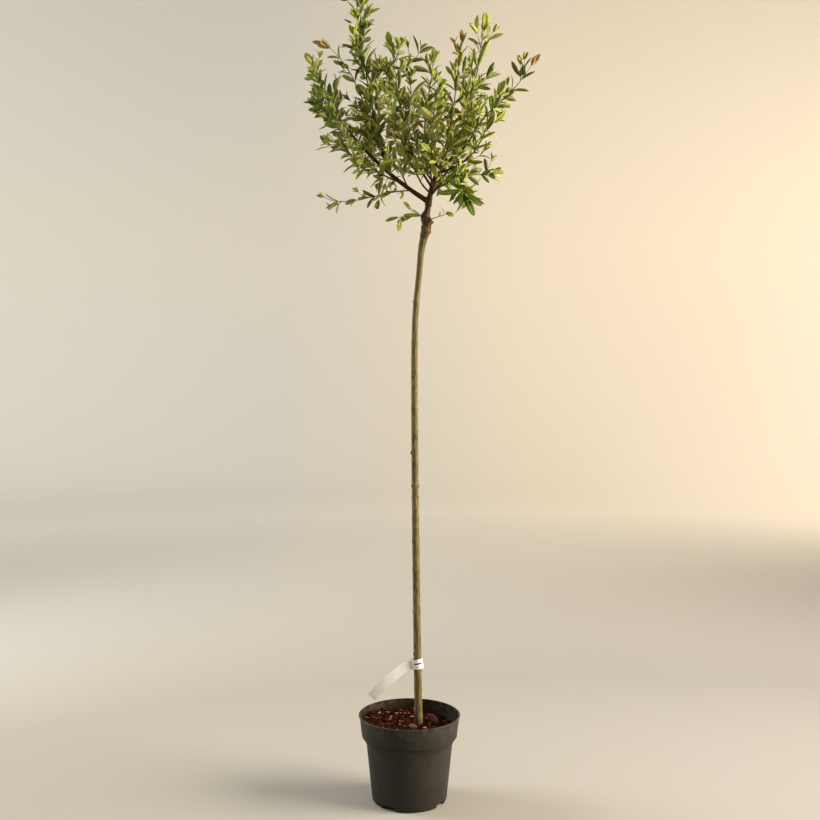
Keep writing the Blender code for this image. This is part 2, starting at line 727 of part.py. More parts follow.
def plan_stems(limbs):
    """Each mass's name, its stem line, the stem's radius where it starts, and its reach."""
    stems = []
    for mass in MASSES:
        bough_line, bough_radii = limbs[mass.bough]
        leaving = (bough_line[-1] - bough_line[-2]).normalized()
        start = bough_line[-1] + leaving * GAP
        end = crown_point(mass.heading, mass.out, mass.up)
        line = limb_line(start, end, mass.sweep, STEM_STEPS, leaving, mass.sag)
        stems.append((mass.name, line, bough_radii[-1], mass.reach))
    trunk = limbs["trunk"][0]
    for sucker in SUCKERS:
        root = min(trunk, key=lambda point: abs(point.z - sucker.height))
        away = direction(sucker.heading)
        start = root + away * (trunk_face(root.z, math.radians(sucker.heading)) + GAP * 2.0)
        end = crown_point(sucker.heading, sucker.out, sucker.up)
        line = limb_line(start, end, sucker.sweep, STEM_STEPS, away, sucker.sag)
        stems.append((sucker.name, line, SUCKER_RADIUS, sucker.reach))
    return stems


class Spaces:
    """Which mass each point of the crown belongs to: the one whose stem is nearest."""

    def __init__(self, stems, limbs):
        samples = []
        for number, (_, line, _, _) in enumerate(stems):
            samples += [(along(line, step / STEM_SAMPLES)[0], number) for step in range(STEM_SAMPLES + 1)]
        self.owners = [number for _, number in samples]
        self.stem_tree = KDTree(len(samples))
        for index, (point, _) in enumerate(samples):
            self.stem_tree.insert(point, index)
        self.stem_tree.balance()
        limb_samples = []
        for line, radii in limbs.values():
            for step in range(LIMB_SAMPLES + 1):
                place = step / LIMB_SAMPLES
                radius = radii[min(round(place * (len(radii) - 1)), len(radii) - 1)]
                limb_samples.append((along(line, place)[0], radius))
        self.radii = [radius for _, radius in limb_samples]
        self.limb_tree = KDTree(len(limb_samples))
        for index, (point, _) in enumerate(limb_samples):
            self.limb_tree.insert(point, index)
        self.limb_tree.balance()

    def holds(self, number, point, thick=0.0):
        """True where a point is well inside a mass's own space and clear of every limb."""
        found = self.stem_tree.find_n(point, STEM_NEIGHBOURS)
        own = min((away for _, index, away in found if self.owners[index] == number), default=None)
        if own is None:
            return False
        other = min((away for _, index, away in found if self.owners[index] != number), default=9.0)
        if own + 2.0 * (SPACE_MARGIN + thick) > other:
            return False
        for _, index, away in self.limb_tree.find_n(point, LIMB_NEIGHBOURS):
            if away < self.radii[index] + thick + LIMB_MARGIN:
                return False
        return True


def twig_line(start, heading, length):
    """A twig that sets off along its heading and turns up towards the sky."""
    up = Vector((0.0, 0.0, 1.0))
    line = [start]
    for step in range(TWIG_STEPS):
        lift = TWIG_LIFT * (step + 0.5) / TWIG_STEPS
        turned_up = heading.lerp(up, lift).normalized()
        line.append(line[-1] + turned_up * length / TWIG_STEPS)
    return line


def leaning(line, fraction, number, lean, wobble):
    """A direction that leans off a line by an angle, out through the middle of one of its three faces."""
    _, tangent = along(line, fraction)
    place = min(int(fraction * (len(line) - 1)), len(line) - 2)
    side, other = frames(line)[place]
    turn = math.tau * (number + 0.5) / TWIG_SIDES + wobble
    outward = side * math.cos(turn) + other * math.sin(turn)
    outward = (outward - tangent * outward.dot(tangent)).normalized()
    return tangent * math.cos(lean) + outward * math.sin(lean)


def plan_twigs(number, line, reach, spaces, chance):
    """The side twigs of one stem: each takes the longest length that stays in the mass's space."""
    twigs = []
    count = max(int(line_length(line) * (1.0 - BARE_STEM) / TWIG_SPACING), FEWEST_TWIGS)
    face = chance.randrange(TWIG_SIDES)
    for step in range(count):
        share = BARE_STEM + (1.0 - BARE_STEM) * (step + 0.3) / count
        lean = math.radians(TWIG_LEAN * chance.uniform(0.8, 1.1))
        heading = leaning(line, share, face + step, lean, chance.uniform(-0.3, 0.3))
        size = reach * (1.0 - 0.55 * share) * chance.uniform(0.8, 1.1)
        start, _ = along(line, share)
        while size > SHORTEST_TWIG:
            candidate = twig_line(start, heading, size)
            if all(spaces.holds(number, point, TWIG_RADIUS) for point in candidate[1:]):
                twigs.append(candidate)
                break
            size *= SHRINK
    return twigs


def leaf_fits(number, root, heading, across, size, spaces):
    """True where the leaf's tip, its sides and its middle stay in the mass's space."""
    middle = root + heading * size * LEAF_WIDEST
    half = across * LEAF_WIDTH / LEAF_LENGTH * size / 2.0
    tests = (root + heading * size, middle + half, middle - half, middle)
    return all(spaces.holds(number, point) for point in tests)


def plan_leaves(number, line, spaces, chance, bare):
    """Leaves set one after the other round a twig, and one at its tip; those that don't fit are skipped."""
    length = line_length(line)
    face = chance.randrange(TWIG_SIDES)
    places = []
    place = bare
    while place < length - LEAF_SPACING * 0.4:
        places.append(place / length)
        place += LEAF_SPACING * chance.uniform(0.9, 1.1)
    leaves = []
    for share in places + [1.0]:
        face += 1
        lean = math.radians(LEAF_LEAN * chance.uniform(0.75, 1.2) if share < 1.0 else TIP_LEAF_LEAN)
        heading = leaning(line, share, face, lean, chance.uniform(-0.2, 0.2))
        across = heading.cross(Vector((0.0, 0.0, 1.0)))
        if across.length < 0.1:
            across = heading.orthogonal()
        across.normalize()
        across.rotate(Matrix.Rotation(chance.uniform(-LEAF_ROLL, LEAF_ROLL), 3, heading))
        root = along(line, share)[0] - heading * LEAF_SINK
        size = LEAF_LENGTH * chance.uniform(LEAF_SMALLEST, 1.0)
        if leaf_fits(number, root, heading, across, size, spaces):
            leaves.append((root, heading, across, size))
    return leaves


def add_leaf(shape, root, heading, across, size):
    """A leaf of eight faces: widest past its middle, with a ridge on each side."""
    normal = heading.cross(across).normalized()
    width = LEAF_WIDTH / LEAF_LENGTH * size
    middle = root + heading * size * LEAF_WIDEST
    base = shape.verts.new(root)
    tip = shape.verts.new(root + heading * size)
    rim = (
        shape.verts.new(middle + across * width / 2.0),
        shape.verts.new(middle + normal * LEAF_THICKNESS / 2.0),
        shape.verts.new(middle - across * width / 2.0),
        shape.verts.new(middle - normal * LEAF_THICKNESS / 2.0),
    )
    for number in range(4):
        after = (number + 1) % 4
        shape.faces.new((base, rim[number], rim[after]))
        shape.faces.new((tip, rim[after], rim[number]))


def make_mass(number, stem, spaces, material):
    """One mass: its stem, twigs and leaves joined by a single union."""
    name, line, radius, reach = stem
    chance = random.Random(name)
    twigs = plan_twigs(number, line, reach, spaces, chance)
    leaves = plan_leaves(number, line, spaces, chance, line_length(line) * BARE_STEM * 2.0)
    for twig in twigs:
        leaves += plan_leaves(number, twig, spaces, chance, BARE_TWIG)
    joined = bpy.data.collections.new("joined")
    bpy.context.scene.collection.children.link(joined)
    for twig in twigs:
        shape = bmesh.new()
        add_tube(shape, twig, tapered(TWIG_RADIUS, TWIG_TIP_RADIUS, len(twig)), TWIG_SIDES)
        make_object("twig", shape, None, joined)
    for leaf in leaves:
        shape = bmesh.new()
        add_leaf(shape, *leaf)
        make_object("leaf", shape, None, joined)
    shape = bmesh.new()
    add_tube(shape, line, tapered(radius, STEM_TIP_RADIUS, len(line)), TWIG_SIDES)
    mass = make_object(name, shape, material)
    apply_boolean(mass, "UNION", joined)
    remove_with_mesh(joined.objects)
    bpy.data.collections.remove(joined)
    shade(mass, 40.0)


def make_foliage(limbs):
    stems = plan_stems(limbs)
    spaces = Spaces(stems, limbs)
    materials = [make_material("leaf green", colour, 0.6) for colour in LEAF_COLOURS]
    for number, stem in enumerate(stems):
        make_mass(number, stem, spaces, materials[number % len(materials)])


def main():
    clear_scene()
    make_pot()
    make_substrate()
    trunk = make_trunk()
    make_tag()
    limbs = plan_boughs(trunk)
    make_boughs(limbs)
    make_foliage(limbs)


main()
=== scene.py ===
"""Looks of the potted standard dappled willow: bark, leaves, substrate, pot and tag.

Metres, +Z up. The origin is the middle of the pot's flat underside, and -Y is the front.
Headings run in degrees round the vertical: 0 is right (+X), 90 is back, 180 is left, 270 is front.
"""
import json
import math
import random
from collections import namedtuple

import bpy
import numpy as np
from mathutils import Matrix, Vector, noise
from mathutils.kdtree import KDTree

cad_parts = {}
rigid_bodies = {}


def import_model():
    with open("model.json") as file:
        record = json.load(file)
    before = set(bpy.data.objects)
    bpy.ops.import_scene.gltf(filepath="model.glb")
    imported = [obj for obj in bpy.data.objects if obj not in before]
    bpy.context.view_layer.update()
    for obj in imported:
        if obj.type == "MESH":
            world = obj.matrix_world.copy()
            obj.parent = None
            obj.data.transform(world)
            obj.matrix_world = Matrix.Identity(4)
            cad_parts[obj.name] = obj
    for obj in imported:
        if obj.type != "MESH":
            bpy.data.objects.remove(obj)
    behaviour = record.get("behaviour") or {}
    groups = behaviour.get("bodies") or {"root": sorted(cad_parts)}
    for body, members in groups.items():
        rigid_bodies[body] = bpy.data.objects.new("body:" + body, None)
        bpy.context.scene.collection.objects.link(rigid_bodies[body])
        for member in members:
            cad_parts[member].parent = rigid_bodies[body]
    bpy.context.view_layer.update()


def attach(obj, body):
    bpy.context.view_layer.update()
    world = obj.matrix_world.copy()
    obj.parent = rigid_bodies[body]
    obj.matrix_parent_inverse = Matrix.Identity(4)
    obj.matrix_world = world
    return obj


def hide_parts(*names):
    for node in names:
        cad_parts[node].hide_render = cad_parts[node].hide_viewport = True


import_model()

NOISE_SEED = 1  # without a seed the noise vectors differ from run to run
UP = Vector((0.0, 0.0, 1.0))

# Camera, from the photograph's viewing angle
CAMERA_PLACE = (0.0013, -2.7572, 1.1161)
CAMERA_FALL = 4.328
CAMERA_LENS = 53.45
CAMERA_SENSOR = 36.0

# Studio
FLOOR_RADIUS = 5.0
COVE_RADIUS = 1.6
COVE_TOP = 5.0
FLOOR_SEGMENTS = 96
# Backdrop: the floor by the plant and the wall behind it, each on its cool left and its warm right side. The
# darker floor by the plant is painted shade against the lamps' pool of light, and the warm right side is
# painted warm light.
FLOOR_COOL = (0.37, 0.355, 0.315)
FLOOR_WARM = (0.38, 0.365, 0.35)
FLOOR_SHADE_MIDDLE = (0.5, -1.4, 0.0)  # the middle of the floor's painted shade, which pales towards the wall
WALL_COOL = (0.83, 0.845, 0.85)
WALL_WARM = (0.96, 0.90, 0.81)
FLOOR_FADE = (2.4, 5.6)  # how far off that middle it begins to pale, and where it is as pale as the wall
WARM_LIGHT_SIDE = (-0.9, 0.8)  # between which places, from left to right, cool turns to the painted warm light
WORLD_COLOUR = (1.0, 0.95, 0.84)
WORLD_STRENGTH = 0.48
# Area lights: place, what each is aimed at, colour, power, size, and how wide its beam fans out
LAMPS = {
    "key": ((3.3, -0.6, 1.7), (0.0, 0.0, 1.0), (1.0, 0.89, 0.72), 138.0, 2.4, 100.0),
    "fill": ((-3.0, 0.9, 1.9), (0.0, 0.0, 0.9), (0.96, 0.95, 0.91), 52.0, 1.6, 120.0),
    "wash": ((4.0, 2.6, 2.0), (0.4, 6.6, 1.6), (1.0, 0.86, 0.67), 54.0, 1.6, 120.0),
}

# Pot
GAP = 0.0003
POT_HEIGHT = 0.2025
RIM_RADIUS = 0.1173
RIM_BEAD_DROP = 0.0045
RIM_EDGE = 0.0008
BAND_TOP_RADIUS = 0.1153
BAND_FOOT_RADIUS = 0.1098
BAND_FOOT_Z = 0.1500
BAND_EDGE_Z = 0.1524
BAND_OVERHANG = 0.0022
STEP_Z = 0.1370
STEP_RADIUS = 0.0997
STEP_SOFTNESS = 0.0055
FOOT_RADIUS = 0.0862
FOOT_ROUND = 0.0080
WALL = 0.0022
BASE_THICKNESS = 0.0035
BASE_CORNER = (0.0040, 0.0070)
POT_SEGMENTS = 144
SLOT_COUNT = 4
SLOT_WIDTH = 0.033
SLOT_HEIGHT = 0.010
SLOT_DEPTH = 0.016
SLOT_HEADING = 236.5
SLOT_ROUND = 0.0035
POT_CREASE = 38.0
# The plastic's specular level, and its dark, middle and light shade
POT_SHADES = {
    "pot_plastic": (
        0.22, (0.0125, 0.0110, 0.0080), (0.0180, 0.0155, 0.0115), (0.0255, 0.0220, 0.0160),
    ),
    # The inside: a darker, warmer copy of the same plastic, which is painted shade on the inner wall, and
    # less glossy
    "pot_plastic_inside": (
        0.08, (0.0075, 0.0040, 0.0025), (0.0115, 0.0063, 0.0040), (0.0185, 0.0105, 0.0062),
    ),
}
POT_SPECKS = (0.085, 0.076, 0.060)
POT_DUST = (0.120, 0.095, 0.062)
DUST_HEIGHTS = (0.168, 0.199)  # where the dust begins, and where there is most of it
# Painted shade: the dark colour of the groove under the band's edge
POT_GROOVE_SHADE = (0.006, 0.005, 0.004)

# Substrate
SURFACE_Z = 0.1715
SURFACE_RISE = 0.016
SURFACE_RISE_HEADING = 140.0
HUMP_HEIGHT = 0.0022
HUMP_PITCH = 0.066
LEVEL_RADIUS = 0.024
BED_RINGS = 64
BED_SPOKES = 180
BED_GRAINS = ((150.0, 0.0013), (380.0, 0.0009))  # how many to a metre, and how high
CHIP_COUNT = 480
CRUMB_COUNT = 1900
CHIP_LENGTH = (0.005, 0.021, 0.009)  # the shortest, the longest and the usual one
CHIP_WIDTH = (0.32, 0.70)  # as a share of the length
CHIP_THICKNESS = (0.0012, 0.0032)
CHIP_SINK = (-0.0008, 0.0030)
CHIP_TILT = 0.38  # how far chips tilt forward as a rule, in radians, and how far to a side
CHIP_LEAN = 0.30
PALE_CHIP_WIDTH = (0.15, 0.24)
PALE_CHIP_THICKNESS = 0.0026
CRUMB_SIZE = (0.0006, 0.0022)
STEM_CLEARANCE = 0.013
BED_SHADES = ((0.006, 0.002, 0.001), (0.022, 0.005, 0.002), (0.064, 0.015, 0.006))
# Tints of the chips, each with its share of them
CHIP_TINTS = {
    "chips_black": ((0.008, 0.002, 0.001), 0.34),
    "chips_brown": ((0.030, 0.007, 0.003), 0.415),
    "chips_red": ((0.078, 0.019, 0.008), 0.215),
    "chips_tan": ((0.190, 0.075, 0.045), 0.028),
    "chips_pink": ((0.380, 0.205, 0.150), 0.002),
}
# Long pale chips: place, length and turn
PALE_CHIPS = (
    (-0.099, 0.023, 0.019, -24.0),
    (-0.088, 0.035, 0.014, 32.0),
    (-0.072, 0.059, 0.014, 26.0),
    (-0.056, 0.066, 0.019, -12.0),
    (-0.026, 0.075, 0.020, 10.0),
    (-0.005, 0.080, 0.018, -28.0),
    (-0.065, 0.003, 0.014, -34.0),
    (-0.046, 0.035, 0.010, -25.0),
    (-0.024, 0.012, 0.009, -30.0),
    (-0.012, 0.000, 0.009, 20.0),
    (0.006, 0.062, 0.011, 24.0),
    (0.068, -0.040, 0.010, -20.0),
)
# Rounded things on the bed: place with how far each is sunk, size, turn, slant, roughness and colour
LUMPS = {
    "bark_lump": ((0.055, 0.032, 0.006), (0.036, 0.021, 0.019), 150.0, -38.0, 0.17, (0.046, 0.021, 0.015)),
    "foot_ridge": ((0.0085, -0.001, 0.001), (0.026, 0.012, 0.012), 133.0, 8.0, 0.16, (0.190, 0.120, 0.085)),
    # A very dark lump by the stem's foot, at its front right, where the stem's lower right side is dark
    "foot_crumb": ((0.0295, -0.0060, 0.003), (0.013, 0.011, 0.014), 30.0, 0.0, 0.22, (0.016, 0.006, 0.004)),
    "foot_chip": ((0.0345, -0.011, 0.001), (0.011, 0.005, 0.005), 15.0, 0.0, 0.12, (0.360, 0.240, 0.175)),
    "bead": ((0.0614, 0.057, 0.0015), (0.0034, 0.0032, 0.0030), 0.0, 0.0, 0.04, (0.750, 0.720, 0.660)),
}

# Trunk
TRUNK_LINE = (
    (0.0215, 0.000, SURFACE_Z + GAP),
    (0.0165, 0.002, 0.470),
    (0.0122, 0.004, 0.830),
    (0.0124, 0.002, 1.090),
    (0.0228, 0.000, 1.225),
    (0.0270, 0.000, 1.270),
    (0.0372, 0.000, 1.316),
    (0.0388, 0.000, 1.346),
    (0.0440, 0.000, 1.378),
)
TRUNK_SAMPLES = 480
TRUNK_FOOT_RADIUS = 0.0093
TRUNK_TOP_RADIUS = 0.0065
FLARE = 0.0030
FLARE_HEIGHT = 0.010
FLARE_LOBES = 3
FLARE_TURN = 205.0
GRAFT_Z = 1.326
GRAFT_SWELL = 0.0040
GRAFT_FALL_BELOW = 0.046  # how far down the swelling fades out, and how far up
GRAFT_FALL_ABOVE = 0.018
PLAIN_RING_STEP = 0.065
FINE_RING_STEP = 0.007
# Knobs of the graft: height, heading, how far each stands out, how far it spreads
KNOBS = (
    (1.344, 185.0, 0.0050, 0.009),
    (1.331, 345.0, 0.0045, 0.006),
    (1.308, 330.0, 0.0035, 0.007),
    (1.320, 95.0, 0.0035, 0.009),
)
# Small knobs on the graft's bark, with the same four numbers each
BURRS = (
    (1.3360, 322.0, 0.0022, 0.0034),
    (1.3300, 308.0, 0.0018, 0.0028),
    (1.3290, 345.0, 0.0016, 0.0026),
    (1.3060, 330.0, 0.0020, 0.0030),
    (1.3130, 285.0, 0.0013, 0.0032),
    (1.3435, 222.0, 0.0018, 0.0040),
    (1.3500, 190.0, 0.0012, 0.0030),
    (1.3200, 250.0, 0.0012, 0.0030),
)
# Patches of another colour on the stem, most by the graft: its own marks, and painted shade on its shaded
# left side. Height, heading, how far each spreads, and colour
MARKS_AND_PAINTED_SHADE = (
    # Down the graft's left side: partly the graft's brown bark, partly painted shade of the side away from
    # the light
    (1.285, 212.0, 0.0080, (0.060, 0.032, 0.016)),
    (1.300, 214.0, 0.0090, (0.048, 0.024, 0.012)),
    (1.317, 215.0, 0.0100, (0.040, 0.019, 0.010)),
    (1.3105, 299.0, 0.0100, (0.145, 0.066, 0.017)),
    (1.3435, 222.0, 0.0075, (0.034, 0.016, 0.009)),
    (1.3335, 318.0, 0.0070, (0.030, 0.013, 0.008)),
    (1.3440, 286.0, 0.0050, (0.190, 0.100, 0.052)),
    (1.2665, 340.0, 0.0026, (0.030, 0.015, 0.009)),
    (1.2818, 299.0, 0.0024, (0.030, 0.015, 0.009)),
    (1.2970, 308.0, 0.0028, (0.024, 0.012, 0.008)),
    (0.981, 255.0, 0.0034, (0.028, 0.014, 0.007)),
    (0.809, 198.0, 0.0038, (0.040, 0.022, 0.010)),
    (0.789, 245.0, 0.0032, (0.028, 0.014, 0.007)),
    (0.733, 205.0, 0.0034, (0.040, 0.022, 0.010)),
    (0.733, 335.0, 0.0034, (0.040, 0.022, 0.010)),
    (0.706, 318.0, 0.0034, (0.028, 0.014, 0.007)),
    (0.343, 205.0, 0.0036, (0.034, 0.018, 0.009)),
    # Painted shade: the stem's shaded left side by its foot, darkened
    (0.200, 196.0, 0.0090, (0.044, 0.026, 0.010)),
    (0.186, 206.0, 0.0110, (0.034, 0.018, 0.008)),
    (0.175, 222.0, 0.0110, (0.026, 0.012, 0.006)),
)
# Dormant buds up the stem: height, heading and how far each stands out
BUDS = (
    (1.152, 188.0, 0.0014),
    (1.060, 80.0, 0.0012),
    (0.981, 255.0, 0.0011),
    (0.910, 350.0, 0.0009),
    (0.860, 110.0, 0.0012),
    (0.809, 186.0, 0.0024),
    (0.789, 245.0, 0.0012),
    (0.733, 192.0, 0.0009),
    (0.733, 350.0, 0.0009),
    (0.706, 320.0, 0.0012),
    (0.660, 60.0, 0.0012),
    (0.611, 352.0, 0.0012),
    (0.604, 190.0, 0.0012),
    (0.542, 270.0, 0.0008),
    (0.500, 130.0, 0.0012),
    (0.442, 186.0, 0.0012),
    (0.380, 50.0, 0.0012),
    (0.343, 198.0, 0.0014),
    (0.260, 95.0, 0.0012),
)
NODE_RIDGE = (0.00035, 0.0035)  # how high and how tall
BUD_SPREAD = (0.0018, 0.0030)  # how far a bud spreads round the stem and along it
BUD_RISE = 0.0010
BUD_SCAR = (0.0003, 0.0022, 0.0010)  # how deep the dent under a bud is, and how far it spreads
BUD_SCAR_FALL = 0.0035
BUD_REACH = 0.012
SCAR_LIP = (0.0004, 0.0022, 0.0009)  # how high, how far out and how wide a scar's lip is
SCAR_PIT = (0.0011, 0.0013)
BURR_REACH = 0.034  # how far from the graft its rough bark reaches
FOOT_BURR_REACH = 0.012
BURR_ROUGHNESS = 0.0022
CRACK_DEPTH = 0.0013
# Ribs of the bark: how high, and how fine they are round the stem and along it
STEM_RIBS = ((0.00018, 3.2, 26.0), (0.00010, 9.0, 60.0))
SKIN_SIDES = 72
SKIN_STEP = 0.0021
FINE_SKIN_STEP = 0.0009
FINE_SKIN_FOOT = 0.185  # the skin is fine below the first height and above the second
FINE_SKIN_HEAD = 1.262
# Small round scars below the graft: height and heading
SCARS = ((1.2665, 340.0), (1.2818, 299.0), (1.2970, 308.0))

# Shades of the stem's bark, from dark to light
STEM_GREEN = ((0.048, 0.036, 0.008), (0.108, 0.087, 0.023), (0.200, 0.168, 0.062))
STEM_TAN = ((0.058, 0.038, 0.016), (0.138, 0.103, 0.048), (0.235, 0.188, 0.100))
STEM_BROWN = ((0.016, 0.005, 0.001), (0.047, 0.019, 0.004), (0.115, 0.057, 0.017))
STEM_FLECKS = (0.060, 0.040, 0.018)
GRAFT_BROWN = (1.272, 1.318)  # the heights between which the bark turns brown
FOOT_BROWN = (0.200, 0.172)

# Tag
TAG_Z = 0.3200
TAG_WIDTH = 0.0225
TAG_THICKNESS = 0.0006
TAG_LOOP_HALF_WIDTH = 0.0118
TAG_LOOP_SEAT = 0.0009
TAG_TILT = 10.0
TAG_TAIL_LENGTH = 0.122
TAG_TAIL_FALL = 33.0
TAG_TAIL_END_FALL = 46.0
TAG_TAIL_FORWARD = 0.016
TAG_LOOP_START = 158.0
TAG_LOOP_END = -172.0
TAG_LOOP_STEPS = 16
TAG_TAIL_STEPS = 6
TAG_FINER = 4  # drawn steps to one of the source's
TAG_CREASE = 40.0
TAG_WHITE = ((0.68, 0.67, 0.66), (0.76, 0.75, 0.74))
# Painted shade: the grey that the tail turns towards its free end
TAG_PAINTED_SHADE = ((0.38, 0.37, 0.36), (0.44, 0.43, 0.42))
PRINT_SHADES = ((0.030, 0.030, 0.034), (0.075, 0.075, 0.080))
PRINT_LIFT = 0.00004  # also half the print's thickness
# Printed lines on the loop's front: where each starts and stops, its middle and its width
TAG_LINES = ((0.08, 0.80, 0.0014, 0.0036), (0.10, 0.86, 0.0082, 0.0004), (0.16, 0.74, -0.0068, 0.0004))

# Boughs: each end is a heading, a distance out from the fork and a height above it.
# "place" is how far along its parent a bough starts, and "sweep" how much it goes out before up.
Bough = namedtuple("Bough", "name parent place heading out up thick thin sweep")
BOUGHS = (
    Bough("leader", "trunk", 1.00, 0, 0.018, 0.064, 0.0062, 0.0048, -0.10),
    Bough("bough_left", "trunk", 0.988, 183, 0.158, 0.128, 0.0055, 0.0034, 0.08),
    Bough("bough_low_left", "bough_left", 0.36, 201, 0.100, 0.049, 0.0025, 0.0018, 0.10),
    Bough("bough_droop_left", "bough_left", 0.22, 193, 0.078, 0.018, 0.0018, 0.0015, 0.10),
    Bough("bough_top_left", "bough_left", 0.52, 170, 0.105, 0.109, 0.0029, 0.0023, 0.10),
    Bough("bough_side_left", "bough_left", 0.86, 169, 0.188, 0.146, 0.0022, 0.0018, 0.08),
    Bough("bough_outer_left", "bough_top_left", 0.50, 162, 0.138, 0.176, 0.0019, 0.0017, 0.06),
    Bough("bough_low_back", "bough_left", 0.24, 145, 0.068, 0.051, 0.0023, 0.0018, 0.10),
    Bough("bough_centre_left", "leader", 0.55, 206, 0.031, 0.085, 0.0030, 0.0024, 0.05),
    Bough("bough_front_left", "leader", 0.40, 239, 0.045, 0.045, 0.0025, 0.0019, 0.15),
    Bough("bough_back_left", "leader", 0.70, 107, 0.038, 0.077, 0.0027, 0.0021, 0.10),
    Bough("bough_centre", "leader", 1.00, 78, 0.017, 0.103, 0.0031, 0.0025, 0.00),
    Bough("bough_front", "leader", 0.55, 275, 0.042, 0.050, 0.0025, 0.0019, 0.15),
    Bough("bough_centre_right", "leader", 0.92, 329, 0.035, 0.096, 0.0026, 0.0021, 0.05),
    Bough("bough_top_right", "leader", 0.80, 17, 0.056, 0.103, 0.0035, 0.0026, 0.10),
    Bough("bough_right", "bough_top_right", 0.30, 344, 0.078, 0.083, 0.0027, 0.0021, 0.12),
    Bough("bough_far_right", "bough_top_right", 0.74, 8, 0.102, 0.154, 0.0026, 0.0021, 0.14),
    Bough("bough_droop_right", "leader", 0.28, 328, 0.036, 0.040, 0.0022, 0.0018, 0.00),
    Bough("bough_low_right", "leader", 0.48, 12, 0.048, 0.044, 0.0022, 0.0018, 0.10),
    Bough("bough_low_back_right", "leader", 0.38, 66, 0.051, 0.038, 0.0022, 0.0018, 0.12),
    Bough("bough_back", "leader", 0.84, 75, 0.049, 0.081, 0.0027, 0.0021, 0.10),
    Bough("bough_back_right", "leader", 0.62, 45, 0.055, 0.066, 0.0026, 0.0020, 0.12),
    Bough("bough_front_right", "leader", 0.68, 297, 0.042, 0.061, 0.0025, 0.0019, 0.05),
)
BOUGH_STEPS = 4
BOUGH_DRAWN_STEPS = 14
BOUGH_DRAWN_SIDES = 12
LEAD = 0.002
COLLAR = 0.35  # how much a bough swells where it leaves its parent
KNOTS = 0.10
BARK_VOXEL = 0.0009
BOUGH_SHADES = ((0.016, 0.007, 0.001), (0.041, 0.018, 0.003), (0.100, 0.053, 0.014))
BARK_DOTS = (0.33, 0.24, 0.13)

# Masses: each stem goes on from its bough to a tip, and "reach" is its longest side twig.
# "family" names its sprays' shares, "tip" is the tint of its last leaves, "fill" how thickly it is set with
# spurs, "leaf" the size of its leaves, "pace" how far apart they are, "end" the length of the leaf at the
# stem's tip, and "sag" how far the middle of a drooping stem hangs down.
MASS_FIELDS = "name bough heading out up sweep reach family tip fill leaf pace end sag"
Mass = namedtuple("Mass", MASS_FIELDS, defaults=(0.0,))
MASSES = tuple(Mass("mass_" + place, "bough_" + place, *row) for place, *row in (
    ("left", 185, 0.258, 0.292, 0.10, 0.070, "left", "gold", 1.0, 1.0, 1.0, 0.038),
    ("low_left", 206, 0.228, 0.115, 0.08, 0.060, "low", "sage", 1.0, 1.05, 1.2, 0.032),
    ("droop_left", 190, 0.234, 0.004, 0.10, 0.040, "low", "sage", 0.0, 0.75, 1.8, 0.020, 0.045),
    ("top_left", 166, 0.172, 0.486, 0.18, 0.080, "centre", "amber", 1.4, 1.15, 0.9, 0.036),
    ("side_left", 164, 0.268, 0.242, 0.10, 0.070, "left", "fresh", 1.6, 1.0, 0.9, 0.032),
    ("outer_left", 177, 0.228, 0.342, -0.25, 0.030, "left", "amber", 0.2, 0.9, 1.3, 0.036),
    ("low_back", 135, 0.236, 0.226, 0.10, 0.090, "low", "fresh", 0.5, 1.0, 1.1, 0.030),
    ("centre_left", 205, 0.093, 0.329, 0.05, 0.075, "centre", "fresh", 1.0, 1.1, 1.1, 0.036),
    ("front_left", 242, 0.200, 0.215, 0.12, 0.090, "low", "mid", 0.0, 0.95, 1.8, 0.030),
    ("back_left", 109, 0.141, 0.363, 0.10, 0.080, "centre", "fresh", 0.35, 1.05, 1.2, 0.036),
    ("centre", 77, 0.041, 0.318, 0.00, 0.065, "centre", "fresh", 0.35, 1.05, 1.25, 0.034),
    ("front", 273, 0.190, 0.225, 0.12, 0.090, "centre", "mid", 0.3, 1.0, 1.2, 0.030),
    ("centre_right", 330, 0.082, 0.340, 0.05, 0.070, "right", "tan", 0.5, 1.0, 1.15, 0.030),
    ("top_right", 23, 0.134, 0.382, 0.08, 0.075, "right", "fresh", 0.7, 1.15, 1.2, 0.056),
    ("right", 333, 0.164, 0.220, 0.10, 0.075, "right", "fresh", 0.3, 1.1, 1.4, 0.036),
    ("far_right", 0, 0.226, 0.297, 0.12, 0.060, "right", "amber", 0.5, 0.95, 1.3, 0.036),
    ("droop_right", 318, 0.100, 0.010, 0.30, 0.070, "green", "green", 0.8, 1.4, 1.2, 0.058),
    ("low_right", 16, 0.156, 0.069, 0.10, 0.055, "right", "sage", 0.6, 0.9, 1.4, 0.024),
    ("low_back_right", 64, 0.178, 0.070, 0.10, 0.070, "right", "sage", 0.6, 0.9, 1.3, 0.024),
    ("back", 80, 0.204, 0.290, 0.10, 0.090, "centre", "fresh", 0.4, 1.0, 1.25, 0.032),
    ("back_right", 51, 0.213, 0.247, 0.10, 0.090, "right", "fresh", 0.1, 1.0, 1.7, 0.032),
    ("front_right", 297, 0.197, 0.212, 0.12, 0.090, "right", "mid", 0.2, 1.0, 1.4, 0.030),
))
Sucker = namedtuple("Sucker", "name height heading out up sweep")
SUCKERS = (
    Sucker("sucker_left", 1.345, 199, 0.090, -0.040, 0.30),
    Sucker("sucker_right", 1.335, 325, 0.062, -0.026, 0.20),
)
